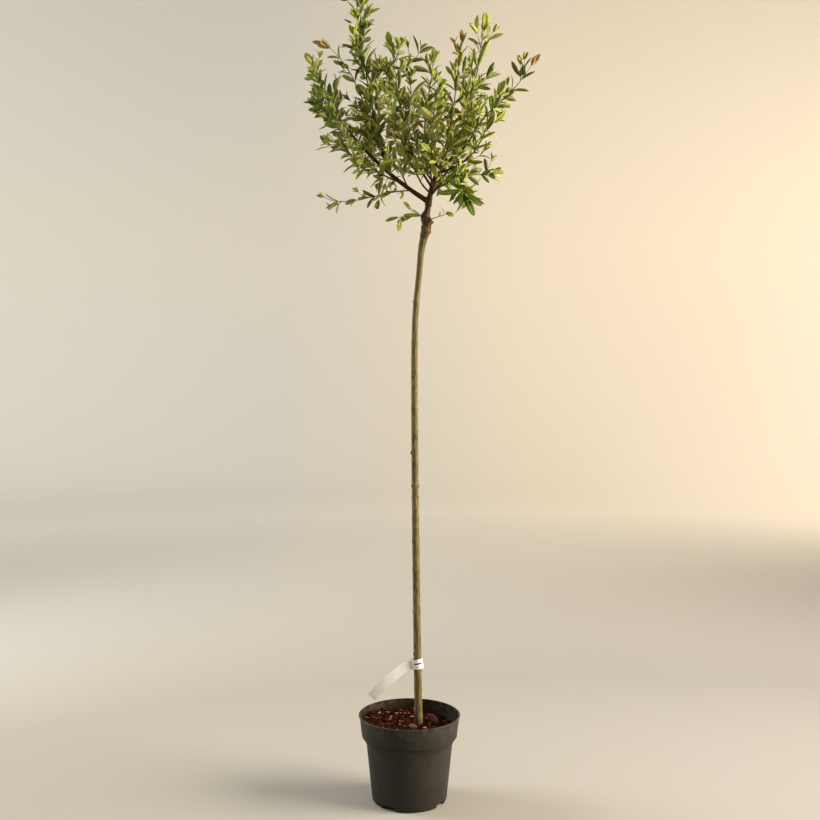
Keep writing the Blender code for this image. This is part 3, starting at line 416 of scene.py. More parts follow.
# Leaves of the suckers: where on the stem each sprig starts, its rise and length, then its leaf's rise
# and length, how wide the leaf is, and its tint. A rise of 90 is up, and one over 90 turns inward.
SPRIGS = {
    "sucker_left": (
        (0.04, 24.0, 0.028, 56.0, 0.026, 1.40, "mid"),
        (0.04, 28.0, 0.000, 42.0, 0.031, 0.72, "mid"),
        (0.05, 18.0, 0.000, 10.0, 0.042, 1.00, "mid"),
        (0.30, 0.0, 0.000, -12.0, 0.044, 1.05, "mid"),
        (0.92, -10.0, 0.000, -4.0, 0.034, 0.95, "mid"),
        (0.84, -60.0, 0.002, -80.0, 0.031, 1.30, "mid"),
        (0.86, 190.0, 0.003, 186.0, 0.017, 0.90, "green"),
    ),
    "sucker_right": (
        (0.50, 60.0, 0.000, 58.0, 0.011, 1.00, "fresh"),
        (0.74, 70.0, 0.002, 84.0, 0.015, 1.00, "fresh"),
        (0.90, 10.0, 0.000, 24.0, 0.011, 1.00, "fresh"),
        (1.00, 0.0, 0.000, -6.0, 0.018, 1.30, "fresh"),
    ),
}
# The source's rule for twigs
TWIG_SIDES = 3
STEM_STEPS = 5
SUCKER_RADIUS = 0.0015
TWIG_RADIUS = 0.0013
TWIG_SPACING = 0.038
FEWEST_TWIGS = 3
TWIG_STEPS = 2
TWIG_LEAN = 48.0
TWIG_LIFT = 0.45
SHORTEST_TWIG = 0.022
BARE_STEM = 0.06
SPACE_MARGIN = 0.0016
LIMB_MARGIN = 0.0022
SHRINK = 0.8
STEM_SAMPLES = 60
LIMB_SAMPLES = 80
STEM_NEIGHBOURS = 40
LIMB_NEIGHBOURS = 6

# Leafy shoots that hang off the left boughs: bough, share, heading, rise, length
HANGING_SHOOTS = (
    ("bough_left", 0.30, 250.0, -35.0, 0.016),
    ("bough_left", 0.44, 262.0, -20.0, 0.018),
    ("bough_left", 0.56, 232.0, -40.0, 0.036),
    ("bough_low_left", 0.90, 214.0, -60.0, 0.050),
    ("bough_outer_left", 0.95, 185.0, 55.0, 0.085),
)

# What is drawn of the shoots
STEM_DRAWN_STEPS = 26
TWIG_DRAWN_STEPS = 7
SPUR_DRAWN_STEPS = 4
SPUR_SPACING = 0.032
SPUR_LENGTH = (0.018, 0.044)
SPUR_LEAN = (26.0, 50.0)
BOUGH_SHOOT_SPACING = 0.020
BOUGH_SHOOT_LENGTH = (0.018, 0.048)
BOUGH_SHOOT_LEAN = (40.0, 70.0)
BARE_REACH = 0.085  # no shoots nearer to the fork than this
SUCKER_DRAWN_SHARE = 0.74
SUCKER_ARCH = 0.5  # how steeply a sucker sets off
WOBBLE = 0.0012

# Leaves
LEAF_LENGTH = 0.043
LEAF_WIDTH = 0.0116
LEAF_THICKNESS = 0.00035
LEAF_ROWS = (0.07, 0.17, 0.31, 0.47, 0.63, 0.79, 0.91, 0.97)
LEAF_COLUMNS = (-1.0, -0.52, -0.10, 0.10, 0.52, 1.0)
LEAF_SLOTS = [0, 0, 2, 0, 0, 1, 1]  # round the section: 0 is the upper side, 1 the underside, 2 the rib
LEAF_MARGIN = 0.0015
LEAF_SIZES = (0.75, 1.25)  # shares of the usual length
LEAF_WIDTHS = (0.80, 1.15)
LEAF_CURL = (0.12, 0.75)  # how far a leaf bends down along its length, in radians
LEAF_FOLD = (0.10, 0.42)  # how steeply its two halves rise from the rib
LEAF_DROOP = 0.10
LEAF_TO_SKY = 0.35
LEAF_ROLL = 0.75
PAIR_LEAN = (38.0, 22.0)  # how far leaves lean off a shoot at its start and at its tip
PAIR_TURN = (72.0, 108.0)
TUFT_LEAF = 0.62
TUFT_LEAN = (6.0, 22.0)
END_LEAN = 0.06
END_WIDTH = 1.25
PETIOLE_HALF_WIDTH = 0.0006

# Leaf tints: base colour of the upper side, as the shader takes it
TINTS = {
    "deep": (0.058, 0.080, 0.005),
    "green": (0.100, 0.146, 0.012),
    "mid": (0.158, 0.200, 0.018),
    "olive": (0.150, 0.128, 0.014),
    "fresh": (0.270, 0.310, 0.045),
    "gold": (0.390, 0.360, 0.080),
    "sage": (0.350, 0.365, 0.150),
    "pale": (0.500, 0.500, 0.250),
    "tan": (0.320, 0.205, 0.070),
    "amber": (0.380, 0.230, 0.075),
}
UNDERSIDE_TINT = (0.340, 0.365, 0.150)
UNDERSIDE_SHARE = 0.28
RARE_TINTS = ("tan", "amber")  # only on the very last leaves of a shoot
# From which share of a shoot its tip's tint may show, and from which share of a stem on its twigs
TIP_TINT_FROM = (0.80, 0.7)
RARE_TINT_FROM = (0.92, 0.78)
TIP_TINT_CHANCE = 0.75
RIB_TINT = (0.45, 0.47, 0.24)
RIB_SHARE = 0.30
ROSETTE_COUNT = 20
ROSETTE_LEAF = 0.052
ROSETTE_TINTS = ("green", "green", "mid", "mid", "fresh")
ROSETTE_TURN = 2.4  # from one leaf to the next, in radians
ROSETTE_DEPTH = 0.16  # the share of the shoot that it takes up
ROSETTE_LEAN = (18.0, 105.0)  # how far its first leaf leans off the shoot, and how much more its last
ROSETTE_WIDTH = 0.85

# Kinds of shoots: radius at both ends, sides, the age of the bark at both ends from old to young, where the
# first leaves grow, the distance from one pair to the next, and the size of the leaves. A stem is as thick
# as its bough and starts bare for a share of its length, and a twig's bark is younger near its stem's tip.
Shoot = namedtuple("Shoot", "thick thin sides age end_age first pace leaf")
STEM = Shoot(0.0, 0.00065, 8, 0.05, 0.95, 0.0, 0.0225, 1.0)
TWIG = Shoot(0.00115, 0.00050, 6, 0.25, 0.95, 0.006, 0.0205, 0.90)
SPUR = Shoot(0.00070, 0.00040, 5, 0.6, 0.95, 0.004, 0.0165, 0.75)
BOUGH_SHOOT = SPUR._replace(age=0.5, first=0.006, leaf=0.8)
HANGING_SHOOT = SPUR._replace(age=0.4, end_age=0.9, first=0.014, pace=SPUR.pace * 1.6, leaf=0.85)
SPRIG_RADIUS = 0.0013
# Twig bark from old to young: dark, middle and light shade of each
TWIG_BARKS = (
    ("twig_brown", (0.045, 0.024, 0.013), (0.090, 0.050, 0.026), (0.165, 0.105, 0.060)),
    ("twig_olive_brown", (0.060, 0.038, 0.016), (0.110, 0.075, 0.030), (0.180, 0.135, 0.065)),
    ("twig_olive", (0.080, 0.065, 0.020), (0.140, 0.120, 0.040), (0.220, 0.190, 0.085)),
    ("twig_green", (0.110, 0.120, 0.030), (0.180, 0.190, 0.055), (0.270, 0.270, 0.110)),
)
# Main tints of a shoot with their shares, picked by chance for each shoot
SPRAYS = (
    (("deep", "green", "mid"), (0.5, 0.4, 0.1)),
    (("green", "mid", "fresh"), (0.6, 0.3, 0.1)),
    (("olive", "mid", "deep"), (0.6, 0.2, 0.2)),
    (("mid", "fresh", "green"), (0.5, 0.3, 0.2)),
    (("sage", "mid", "fresh"), (0.5, 0.3, 0.2)),
    (("gold", "olive", "fresh"), (0.4, 0.4, 0.2)),
    (("pale", "sage", "fresh"), (0.4, 0.4, 0.2)),
)
# How often each of them is picked, in each family of masses
SPRAY_SHARES = {
    "left": (0.28, 0.36, 0.03, 0.20, 0.09, 0.01, 0.03),
    "low": (0.10, 0.10, 0.38, 0.18, 0.14, 0.04, 0.06),
    "centre": (0.20, 0.26, 0.20, 0.15, 0.11, 0.02, 0.06),
    "right": (0.14, 0.14, 0.28, 0.17, 0.15, 0.05, 0.07),
    "green": (0.35, 0.60, 0.00, 0.05, 0.00, 0.00, 0.00),
}


# Plain helpers


def direction(heading, rise=0.0):
    turn = math.radians(heading)
    lift = math.radians(rise)
    return Vector((math.cos(turn) * math.cos(lift), math.sin(turn) * math.cos(lift), math.sin(lift)))


def blended(first, second, share):
    return tuple(a + (b - a) * share for a, b in zip(first, second))


def scaled(colour, factor, extra=0.0):
    return tuple(min(value * factor + extra, 1.0) for value in colour)


def bell(value, spread):
    return math.exp(-((value / spread) ** 2))


def between(pair, angle):
    """A direction at an angle from the first of two cross directions to the second."""
    return pair[0] * math.cos(angle) + pair[1] * math.sin(angle)


def square_to(axis, vector):
    """A direction made square to an axis."""
    return (vector - axis * vector.dot(axis)).normalized()


def crown_point(heading, out, up):
    """A point of the crown, counted from the fork."""
    return Vector(TRUNK_LINE[-1]) + direction(heading) * out + UP * up


def smooth_line(points, fraction):
    """The point at a fraction of a smooth line through all the points given."""
    spans = len(points) - 1
    place = min(max(fraction, 0.0), 1.0) * spans
    index = min(int(place), spans - 1)
    t = place - index
    before = points[max(index - 1, 0)]
    here = points[index]
    there = points[index + 1]
    after = points[min(index + 2, spans)]
    return 0.5 * (
        2.0 * here
        + (there - before) * t
        + (2.0 * before - 5.0 * here + 4.0 * there - after) * t**2
        + (3.0 * here - before - 3.0 * there + after) * t**3
    )


def limb_line(start, end, sweep, steps, leaving=None, sag=0.0, lead=LEAD):
    """A limb's centre line: it goes out before up by its sweep, and starts along "leaving" if given."""
    across = Vector((end.x - start.x, end.y - start.y, 0.0))
    rise = UP * (end.z - start.z)
    bend = start + across * (0.5 + sweep) + rise * (0.5 - sweep) - UP * sag
    first = start.lerp(bend, 2.0 / 3.0)
    if leaving:
        first = start + leaving * (end - start).length / 3.0
    second = end.lerp(bend, 2.0 / 3.0)
    line = []
    for step in range(steps + 1):
        t = step / steps
        u = 1.0 - t
        line.append(start * u**3 + first * 3 * u * u * t + second * 3 * u * t * t + end * t**3)
    if leaving and lead:
        line.insert(1, start + leaving * lead)
    return line


def along(line, fraction):
    """The point at a fraction of a line, and the line's direction there."""
    place = min(max(fraction, 0.0), 1.0) * (len(line) - 1)
    index = min(int(place), len(line) - 2)
    point = line[index].lerp(line[index + 1], place - index)
    return point, (line[index + 1] - line[index]).normalized()


def line_length(line):
    return sum((b - a).length for a, b in zip(line, line[1:]))


def frames(line):
    """A pair of cross directions at each point, carried along without twisting."""
    last = len(line) - 1
    tangents = [(line[min(i + 1, last)] - line[max(i - 1, 0)]).normalized() for i in range(last + 1)]
    side = tangents[0].orthogonal().normalized()
    pairs = []
    for tangent in tangents:
        side = square_to(tangent, side)
        pairs.append((side, tangent.cross(side)))
    return pairs


def tapered(thick, thin, count):
    return [thick + (thin - thick) * number / (count - 1) for number in range(count)]


# Meshes


def circle(count):
    """Directions spread evenly round the vertical, each as x and y."""
    angles = [math.tau * number / count for number in range(count)]
    return [(math.cos(angle), math.sin(angle)) for angle in angles]


def rings_of(profile, count):
    """Rings of points round the vertical, one for each radius and height of a profile."""
    return [Vector((x * radius, y * radius, height)) for radius, height in profile for x, y in circle(count)]


def side_faces(rings, count, first=0, inward=False):
    """Faces between rings of points that follow each other from a first point on."""
    faces = []
    for low in range(first, first + (rings - 1) * count, count):
        for number in range(count):
            after = (number + 1) % count
            corners = [low + number, low + after, low + count + after, low + count + number]
            if inward:
                corners[1:] = corners[:0:-1]
            faces.append(tuple(corners))
    return faces


def end_caps(rings, count):
    """The faces that close the first ring and the last one."""
    return [tuple(reversed(range(count))), tuple(range((rings - 1) * count, rings * count))]


class Pile:
    """Points and faces of many small things that are joined as one piece."""

    def __init__(self):
        self.points = []
        self.faces = []
        self.slots = []

    def add(self, points, faces, slots=None):
        start = len(self.points)
        self.points += points
        self.faces += [tuple(start + corner for corner in face) for face in faces]
        self.slots += slots or [0] * len(faces)

    def add_tube(self, line, radii, sides, slots):
        """A closed tube with a slot for each of its spans."""
        points = []
        for point, radius, pair in zip(line, radii, frames(line)):
            points += [point + between(pair, math.tau * number / sides) * radius for number in range(sides)]
        faces = side_faces(len(line), sides) + end_caps(len(line), sides)
        self.add(points, faces, [slot for slot in slots for _ in range(sides)] + [slots[0], slots[-1]])


def place_object(name, data):
    """A new object in the scene."""
    thing = bpy.data.objects.new(name, data)
    bpy.context.scene.collection.objects.link(thing)
    return thing


def make_mesh(name, points, faces, materials=()):
    mesh = bpy.data.meshes.new(name)
    mesh.from_pydata([tuple(point) for point in points], [], faces)
    for material in materials:
        mesh.materials.append(material)
    return mesh


def make_piece(name, pile, materials, replaced=(), smooth=True):
    """One mesh object from a pile, that rides on the plant's only body."""
    mesh = make_mesh(name, pile.points, pile.faces, materials)
    mesh.polygons.foreach_set("material_index", pile.slots)
    if smooth:
        mesh.shade_smooth()
    mesh.update()
    piece = place_object(name, mesh)
    claim(piece, replaced)
    return piece


def claim(piece, replaced=()):
    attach(piece, "root")
    if replaced:
        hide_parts(*replaced)


def apply_modifiers(piece):
    """Keep the piece as its modifiers shape it, and take them off."""
    shaped = bpy.data.meshes.new_from_object(piece.evaluated_get(bpy.context.evaluated_depsgraph_get()))
    old = piece.data
    piece.modifiers.clear()
    piece.data = shaped
    bpy.data.meshes.remove(old)


def crease(piece, angle):
    """Smooth shading with sharp edges where faces meet at more than an angle."""
    piece.data.shade_smooth()
    piece.data.set_sharp_from_angle(angle=math.radians(angle))


# Materials


class Graph:
    """A material's nodes, built from the object's own coordinates."""

    def __init__(self, name, roughness, specular=0.3):
        self.material = bpy.data.materials.new(name)
        self.material.use_nodes = True
        self.tree = self.material.node_tree
        self.shader = self.tree.nodes["Principled BSDF"]
        self.shader.inputs["Roughness"].default_value = roughness
        self.shader.inputs["Specular IOR Level"].default_value = specular
        self.place = self.tree.nodes.new("ShaderNodeTexCoord").outputs["Object"]
        self.normal = None

    def fill(self, target, value):
        """Link an input to another node's output, or give it a value."""
        if isinstance(value, bpy.types.NodeSocket):
            self.tree.links.new(value, target)
        else:
            target.default_value = value

    def add(self, kind, output, inputs, **settings):
        """The output of a new node, whose inputs are filled."""
        node = self.tree.nodes.new("ShaderNode" + kind)
        for name, value in settings.items():
            setattr(node, name, value)
        for key, value in inputs.items():
            self.fill(node.inputs[key], value)
        return node.outputs[output]

    def stretched(self, scale):
        return self.add("Mapping", "Vector", {"Vector": self.place, "Scale": scale})

    def noise(self, scale, detail=3.0, vector=None, distortion=0.0):
        inputs = {"Vector": vector or self.place, "Scale": scale, "Detail": detail, "Distortion": distortion}
        return self.add("TexNoise", "Fac", inputs)

    def cells(self, scale):
        return self.add("TexVoronoi", "Distance", {"Vector": self.place, "Scale": scale})

    def part(self, axis):
        """One coordinate of the object's own place."""
        return self.add("SeparateXYZ", axis, {"Vector": self.place})

    def remap(self, source, low, high, to_low=0.0, to_high=1.0):
        inputs = {"Value": source, "From Min": low, "From Max": high, "To Min": to_low, "To Max": to_high}
        return self.add("MapRange", "Result", inputs)

    def away_from(self, place):
        return self.add("VectorMath", "Value", {0: self.place, 1: place}, operation="DISTANCE")

    def times(self, first, second):
        return self.add("Math", "Value", {0: first, 1: second}, operation="MULTIPLY")

    def ramp(self, source, stops, colours):
        node = self.tree.nodes.new("ShaderNodeValToRGB")
        elements = node.color_ramp.elements
        for stop in stops[1:-1]:
            elements.new(stop)
        for element, stop, colour in zip(elements, stops, colours):
            element.position = stop
            element.color = (*colour, 1.0)
        self.fill(node.inputs["Fac"], source)
        return node.outputs["Color"]

    def mix(self, share, first, second):
        """Two colours, each a socket or three numbers, mixed by a socket."""
        colours = [(*value, 1.0) if isinstance(value, tuple) else value for value in (first, second)]
        return self.add("Mix", 2, {0: share, 6: colours[0], 7: colours[1]}, data_type="RGBA")

    def bump(self, height, strength, distance):
        inputs = {"Height": height, "Strength": strength, "Distance": distance}
        if self.normal:
            inputs["Normal"] = self.normal
        self.normal = self.add("Bump", "Normal", inputs)

    def finish(self, colour, roughness=None):
        for name, source in (("Base Color", colour), ("Roughness", roughness), ("Normal", self.normal)):
            if source:
                self.fill(self.shader.inputs[name], source)
        return self.material


def pot_plastic(name, specular, *shades):
    """Recycled nursery plastic: flow streaks, fine grain, scuffs, dust by the substrate, and painted shade in
    the groove under the band's edge.
    """
    graph = Graph(name, 0.50, specular)
    streaks = graph.noise(16.0, 4.0, graph.stretched((1.0, 1.0, 0.35)), 0.6)
    colour = graph.ramp(streaks, (0.30, 0.55, 0.75), shades)
    specks = graph.remap(graph.noise(900.0, 2.0), 0.62, 0.75)
    colour = graph.mix(specks, colour, POT_SPECKS)
    height = graph.part("Z")
    near_rim = graph.remap(height, *DUST_HEIGHTS, 0.0, 0.30)
    dust = graph.times(graph.remap(graph.noise(60.0, 5.0), 0.42, 0.70), near_rim)
    colour = graph.mix(dust, colour, POT_DUST)
    # Painted shade: a dark line in the groove under the band's edge, where shade falls
    below = graph.remap(height, BAND_EDGE_Z - 0.0040, BAND_EDGE_Z - 0.0018)
    above = graph.remap(height, BAND_EDGE_Z + 0.0012, BAND_EDGE_Z + 0.0002)
    colour = graph.mix(graph.times(below, above), colour, POT_GROOVE_SHADE)
    graph.bump(graph.noise(700.0, 3.0), 0.10, 0.0004)
    graph.bump(graph.noise(45.0, 2.0, graph.stretched((1.0, 1.0, 0.2))), 0.12, 0.0012)
    return graph.finish(colour, graph.remap(graph.noise(35.0, 4.0), 0.3, 0.7, 0.46, 0.70))


def bed_material():
    """Dark peat and fine bark between the chips."""
    graph = Graph("substrate_bed", 0.9, 0.05)
    graph.bump(graph.noise(900.0, 4.0), 0.5, 0.0008)
    return graph.finish(graph.ramp(graph.noise(260.0, 5.0), (0.32, 0.52, 0.72), BED_SHADES))


def chip_material(name, colour):
    """One tint of bark chip, with its grain."""
    graph = Graph(name, 0.85, 0.06)
    grain = graph.noise(500.0, 4.0, graph.stretched((1.0, 0.3, 1.0)))
    graph.bump(grain, 0.5, 0.0005)
    return graph.finish(graph.ramp(grain, (0.30, 0.70), (scaled(colour, 0.55), scaled(colour, 1.35))))


def stem_bark():
    """Young willow bark: olive with grey-green streaks, brown at the foot and at the graft."""
    graph = Graph("stem_bark", 0.6, 0.14)
    streaks = graph.noise(300.0, 5.0, graph.stretched((1.0, 1.0, 0.16)), 0.6)
    green = graph.ramp(streaks, (0.30, 0.52, 0.72), STEM_GREEN)
    tan = graph.ramp(streaks, (0.30, 0.52, 0.72), STEM_TAN)
    green = graph.mix(graph.remap(graph.noise(5.0, 3.0), 0.35, 0.65, 0.1, 0.8), green, tan)
    brown = graph.ramp(graph.noise(420.0, 5.0), (0.30, 0.55, 0.75), STEM_BROWN)
    height = graph.part("Z")
    blotches = graph.remap(graph.noise(70.0, 4.0), 0.35, 0.65)
    graft = graph.times(graph.remap(height, *GRAFT_BROWN), graph.remap(blotches, 0.0, 1.0, 0.60, 1.30))
    foot = graph.times(graph.remap(height, *FOOT_BROWN), graph.remap(blotches, 0.0, 1.0, 0.2, 1.0))
    colour = graph.mix(graft, green, brown)
    colour = graph.mix(foot, colour, brown)
    ragged = graph.remap(graph.noise(430.0, 5.0), 0.38, 0.50, 0.10, 1.0)
    # Patches of another colour: the stem's own marks, and painted shade on its shaded left side at the foot
    # and by the graft
    for patch_height, heading, spread, tint in MARKS_AND_PAINTED_SHADE:
        away = graph.away_from(skin_place(patch_height, heading))
        inside = graph.remap(away, spread * 0.55, spread, 1.0, 0.0)
        colour = graph.mix(graph.times(inside, ragged), colour, tint)
    flecks = graph.remap(graph.noise(520.0, 2.0, graph.stretched((1.0, 1.0, 0.5))), 0.64, 0.72, 0.0, 0.7)
    colour = graph.mix(flecks, colour, STEM_FLECKS)
    graph.bump(streaks, 0.25, 0.0006)
    graph.bump(graph.noise(1400.0, 3.0), 0.15, 0.0003)
    return graph.finish(colour, graph.remap(streaks, 0.3, 0.7, 0.5, 0.72))


def bough_bark(name, *shades):
    """Bark of boughs and twigs: fine streaks and small paler dots."""
    graph = Graph(name, 0.62, 0.07)
    colour = graph.ramp(graph.noise(340.0, 4.0, None, 0.5), (0.30, 0.52, 0.74), shades)
    dots = graph.remap(graph.cells(420.0), 0.20, 0.10, 0.0, 0.45)
    colour = graph.mix(dots, colour, blended(shades[-1], BARK_DOTS, 0.5))
    graph.bump(graph.noise(900.0, 3.0), 0.25, 0.0005)
    return graph.finish(colour)


def leaf_material(name, colour, roughness):
    """One side of the leaves of one tint, faintly mottled, with a soft quilted sheen."""
    graph = Graph(name, roughness, 0.05)
    mottle = graph.noise(240.0, 4.0)
    graph.bump(graph.noise(950.0, 2.0), 0.18, 0.0003)
    shades = (scaled(colour, 0.72), colour, scaled(colour, 1.30, 0.006))
    shade = graph.ramp(mottle, (0.30, 0.50, 0.72), shades)
    return graph.finish(shade, graph.remap(mottle, 0.3, 0.7, roughness - 0.08, roughness + 0.08))


def tag_material():
    """White plastic film, with painted shade that greys it towards its free end."""
    graph = Graph("tag_plastic", 0.42, 0.4)
    cloud = graph.noise(60.0, 3.0)
    graph.bump(graph.noise(300.0, 2.0), 0.08, 0.0004)
    white = graph.ramp(cloud, (0.30, 0.70), TAG_WHITE)
    # Painted shade, which greys the tail towards its free end
    grey = graph.ramp(cloud, (0.30, 0.70), TAG_PAINTED_SHADE)
    return graph.finish(graph.mix(graph.remap(graph.part("X"), -0.030, -0.082), white, grey))


def print_material():
    graph = Graph("tag_print", 0.6, 0.3)
    return graph.finish(graph.ramp(graph.noise(700.0, 2.0), (0.35, 0.65), PRINT_SHADES))


# Pot


def rounded(before, corner, after, size, steps=5):
    """A profile's corner, rounded over a distance on both sides."""
    corner = Vector(corner)
    first = corner + (Vector(before) - corner).normalized() * size
    last = corner + (Vector(after) - corner).normalized() * size
    points = []
    for step in range(steps + 1):
        t = step / steps
        points.append(tuple(first * (1.0 - t) ** 2 + corner * 2.0 * t * (1.0 - t) + last * t**2))
    return points


def outer_wall():
    """The wall's outer profile from the foot up, as radius and height.

    The foot is rounded, the shoulder widens in a soft bend, and the band's edge overhangs a groove.
    """
    inner_foot = (FOOT_RADIUS - 2.0 * FOOT_ROUND, 0.0)
    foot = (FOOT_RADIUS - 0.0002, 0.0)
    step = (STEP_RADIUS, STEP_Z)
    band_top = (BAND_TOP_RADIUS, POT_HEIGHT - RIM_BEAD_DROP)
    share = (BAND_EDGE_Z - BAND_FOOT_Z) / (band_top[1] - BAND_FOOT_Z)
    edge = BAND_FOOT_RADIUS + (BAND_TOP_RADIUS - BAND_FOOT_RADIUS) * share
    groove = (edge - BAND_OVERHANG, BAND_EDGE_Z - 0.0016)
    profile = rounded(inner_foot, foot, step, FOOT_ROUND, 8)
    profile += rounded(foot, step, groove, STEP_SOFTNESS)
    profile += [groove, (groove[0] - 0.0002, BAND_EDGE_Z - 0.0003), (edge - 0.0006, BAND_EDGE_Z)]
    profile += [(edge, BAND_EDGE_Z + 0.0006), band_top, (band_top[0] + 0.0004, band_top[1] + 0.0003)]
    return profile


def rim():
    """The rolled bead round the rim, from outside to inside."""
    half = (RIM_BEAD_DROP - 0.0009) / 2.0
    middle = POT_HEIGHT - half
    points = []
    for step in range(7):
        angle = math.radians(-80.0 + 170.0 * step / 6)
        points.append((RIM_RADIUS - half + half * math.cos(angle), middle + half * math.sin(angle)))
    points.append((BAND_TOP_RADIUS - WALL + RIM_EDGE, POT_HEIGHT))
    points.append((BAND_TOP_RADIUS - WALL + RIM_EDGE * 0.2, POT_HEIGHT - 0.0005))
    return points


def inner_wall(clear=0.0):
    inset = WALL + clear
    floor = BASE_THICKNESS + clear
    return [
        (FOOT_RADIUS - inset - BASE_CORNER[0], floor),
        (FOOT_RADIUS - inset, floor + BASE_CORNER[1]),
        (STEP_RADIUS - inset, STEP_Z - WALL * 0.5),
        (BAND_FOOT_RADIUS - inset - WALL, BAND_FOOT_Z - WALL * 0.6),
        (BAND_FOOT_RADIUS - inset, BAND_FOOT_Z + WALL),
        (BAND_TOP_RADIUS - inset, POT_HEIGHT - RIM_BEAD_DROP),
    ]


def make_pot():
    """The pot's shell, turned, with its drainage slots cut through the lower edge."""
    outside = outer_wall() + rim()
    profile = outside + inner_wall()[::-1]
    count = POT_SEGMENTS
    last = 1 + len(profile) * count
    points = [Vector((0.0, 0.0, 0.0)), *rings_of(profile, count), Vector((0.0, 0.0, BASE_THICKNESS))]
    faces = []
    for number in range(count):
        after = (number + 1) % count
        faces += [(0, 1 + after, 1 + number), (last, last - count + number, last - count + after)]
        for low in range(1, last - count, count):
            faces.append((low + number, low + after, low + count + after, low + count + number))
    slots = ([0, 1] + [int(ring >= len(outside) - 1) for ring in range(len(profile) - 1)]) * count
    pile = Pile()
    pile.add(points, faces, slots)
    skins = [pot_plastic(name, *shades) for name, shades in POT_SHADES.items()]
    pot = make_piece("pot_shell", pile, skins, ["pot"])
    for number in range(SLOT_COUNT):
        cutter = make_slot_cutter(SLOT_HEADING + 360.0 * number / SLOT_COUNT)
        cut = pot.modifiers.new("slot", "BOOLEAN")
        cut.operation = "DIFFERENCE"
        cut.object = cutter
        apply_modifiers(pot)
        bpy.data.objects.remove(cutter, do_unlink=True)
    crease(pot, POT_CREASE)


def make_slot_cutter(heading):
    """A block across the lower edge of the pot, with its upper edges rounded."""
    half = SLOT_WIDTH / 2.0
    outline = [(-half, -SLOT_HEIGHT), (half, -SLOT_HEIGHT)]
    for side in (1.0, -1.0):
        for step in range(5):
            angle = math.radians(90.0 * step / 4)
            turn = (math.cos(angle), math.sin(angle)) if side > 0.0 else (math.sin(angle), math.cos(angle))
            across = side * (half - SLOT_ROUND + SLOT_ROUND * turn[0])
            outline.append((across, SLOT_HEIGHT - SLOT_ROUND + SLOT_ROUND * turn[1]))
    depths = (FOOT_RADIUS - SLOT_DEPTH, FOOT_RADIUS + SLOT_DEPTH)
    points = [(depth, across, up) for depth in depths for across, up in outline]
    count = len(outline)
    mesh = make_mesh("slot_cutter", points, end_caps(2, count) + side_faces(2, count))
    mesh.transform(Matrix.Rotation(math.radians(heading), 4, "Z"))
    return place_object("slot_cutter", mesh)


# Substrate


def from_stem(x, y):
    """How far a place on the bed is from the stem's middle."""
    return math.hypot(x - TRUNK_LINE[0][0], y - TRUNK_LINE[0][1])


def surface_height(x, y):
    """Height of the substrate: level by the stem, heaped to one side, with low humps."""
    away = from_stem(x, y)
    if away < LEVEL_RADIUS:
        return SURFACE_Z
    share = min((away - LEVEL_RADIUS) / (RIM_RADIUS - LEVEL_RADIUS), 1.0)
    towards = direction(SURFACE_RISE_HEADING).dot(Vector((x, y, 0.0))) / RIM_RADIUS
    wave = math.tau / HUMP_PITCH
    humps = math.sin(wave * x) * math.cos(0.8 * wave * y) + math.sin(wave * (1.6 * y - 0.6 * x))
    return SURFACE_Z + share * (SURFACE_RISE * towards + HUMP_HEIGHT * humps)


def grainy_height(x, y):
    """The surface with its grain of fine bark."""
    height = surface_height(x, y)
    for pitch, size in BED_GRAINS:
        height += size * noise.noise(Vector((x * pitch, y * pitch, pitch)))
    return height


def band_radius(height):
    (low_radius, low), (high_radius, high) = inner_wall(GAP)[-2:]
    return low_radius + (high_radius - low_radius) * (height - low) / (high - low)


def make_bed():
    """The substrate's body, with a grainy top that meets the pot's wall all round."""
    spokes = circle(BED_SPOKES)
    edges = [band_radius(surface_height(x * BAND_FOOT_RADIUS, y * BAND_FOOT_RADIUS)) - GAP for x, y in spokes]
    points = [Vector((0.0, 0.0, grainy_height(0.0, 0.0)))]
    for ring in range(1, BED_RINGS + 1):
        for (x, y), edge in zip(spokes, edges):
            radius = edge * ring / BED_RINGS
            points.append(Vector((x * radius, y * radius, grainy_height(x * radius, y * radius))))
    skirt = inner_wall(GAP * 2.0)[-3::-1]
    points += rings_of(skirt, BED_SPOKES)
    faces = [(0, 1 + spoke, 1 + (spoke + 1) % BED_SPOKES) for spoke in range(BED_SPOKES)]
    faces += side_faces(BED_RINGS + len(skirt), BED_SPOKES, 1, inward=True)
    faces.append(tuple(reversed(range(len(points) - BED_SPOKES, len(points)))))
    pile = Pile()
    pile.add(points, faces)
    make_piece("substrate_bed", pile, [bed_material()], ["substrate"])


def place_on_bed(x, y, sink, turn, tilt, lean):
    """Where a small thing lies on the bed: turned, and tilted towards one side."""
    spin = Matrix.Rotation(turn, 4, "Z") @ Matrix.Rotation(tilt, 4, "X") @ Matrix.Rotation(lean, 4, "Y")
    return Matrix.Translation((x, y, surface_height(x, y) + sink)) @ spin


def add_chip(pile, matrix, length, width, thick, chance):
    """A flake of bark: a crooked outline with broken ends and a slightly domed top."""
    count = chance.choice((6, 7, 8))
    points = []
    for level, grow in ((0.0, 0.86), (0.55, 1.0), (1.0, 0.80)):
        for across, deep in circle(count):
            wobble = chance.uniform(0.86, 1.06) if level else 1.0
            x = math.copysign(abs(across) ** 0.7, across) * length / 2.0
            y = math.copysign(abs(deep) ** 0.9, deep) * width / 2.0
            z = thick * (level - 0.5) * chance.uniform(0.7, 1.2)
            points.append(matrix @ Vector((x * grow * wobble, y * grow * wobble, z)))
    pile.add(points, end_caps(3, count) + side_faces(3, count))


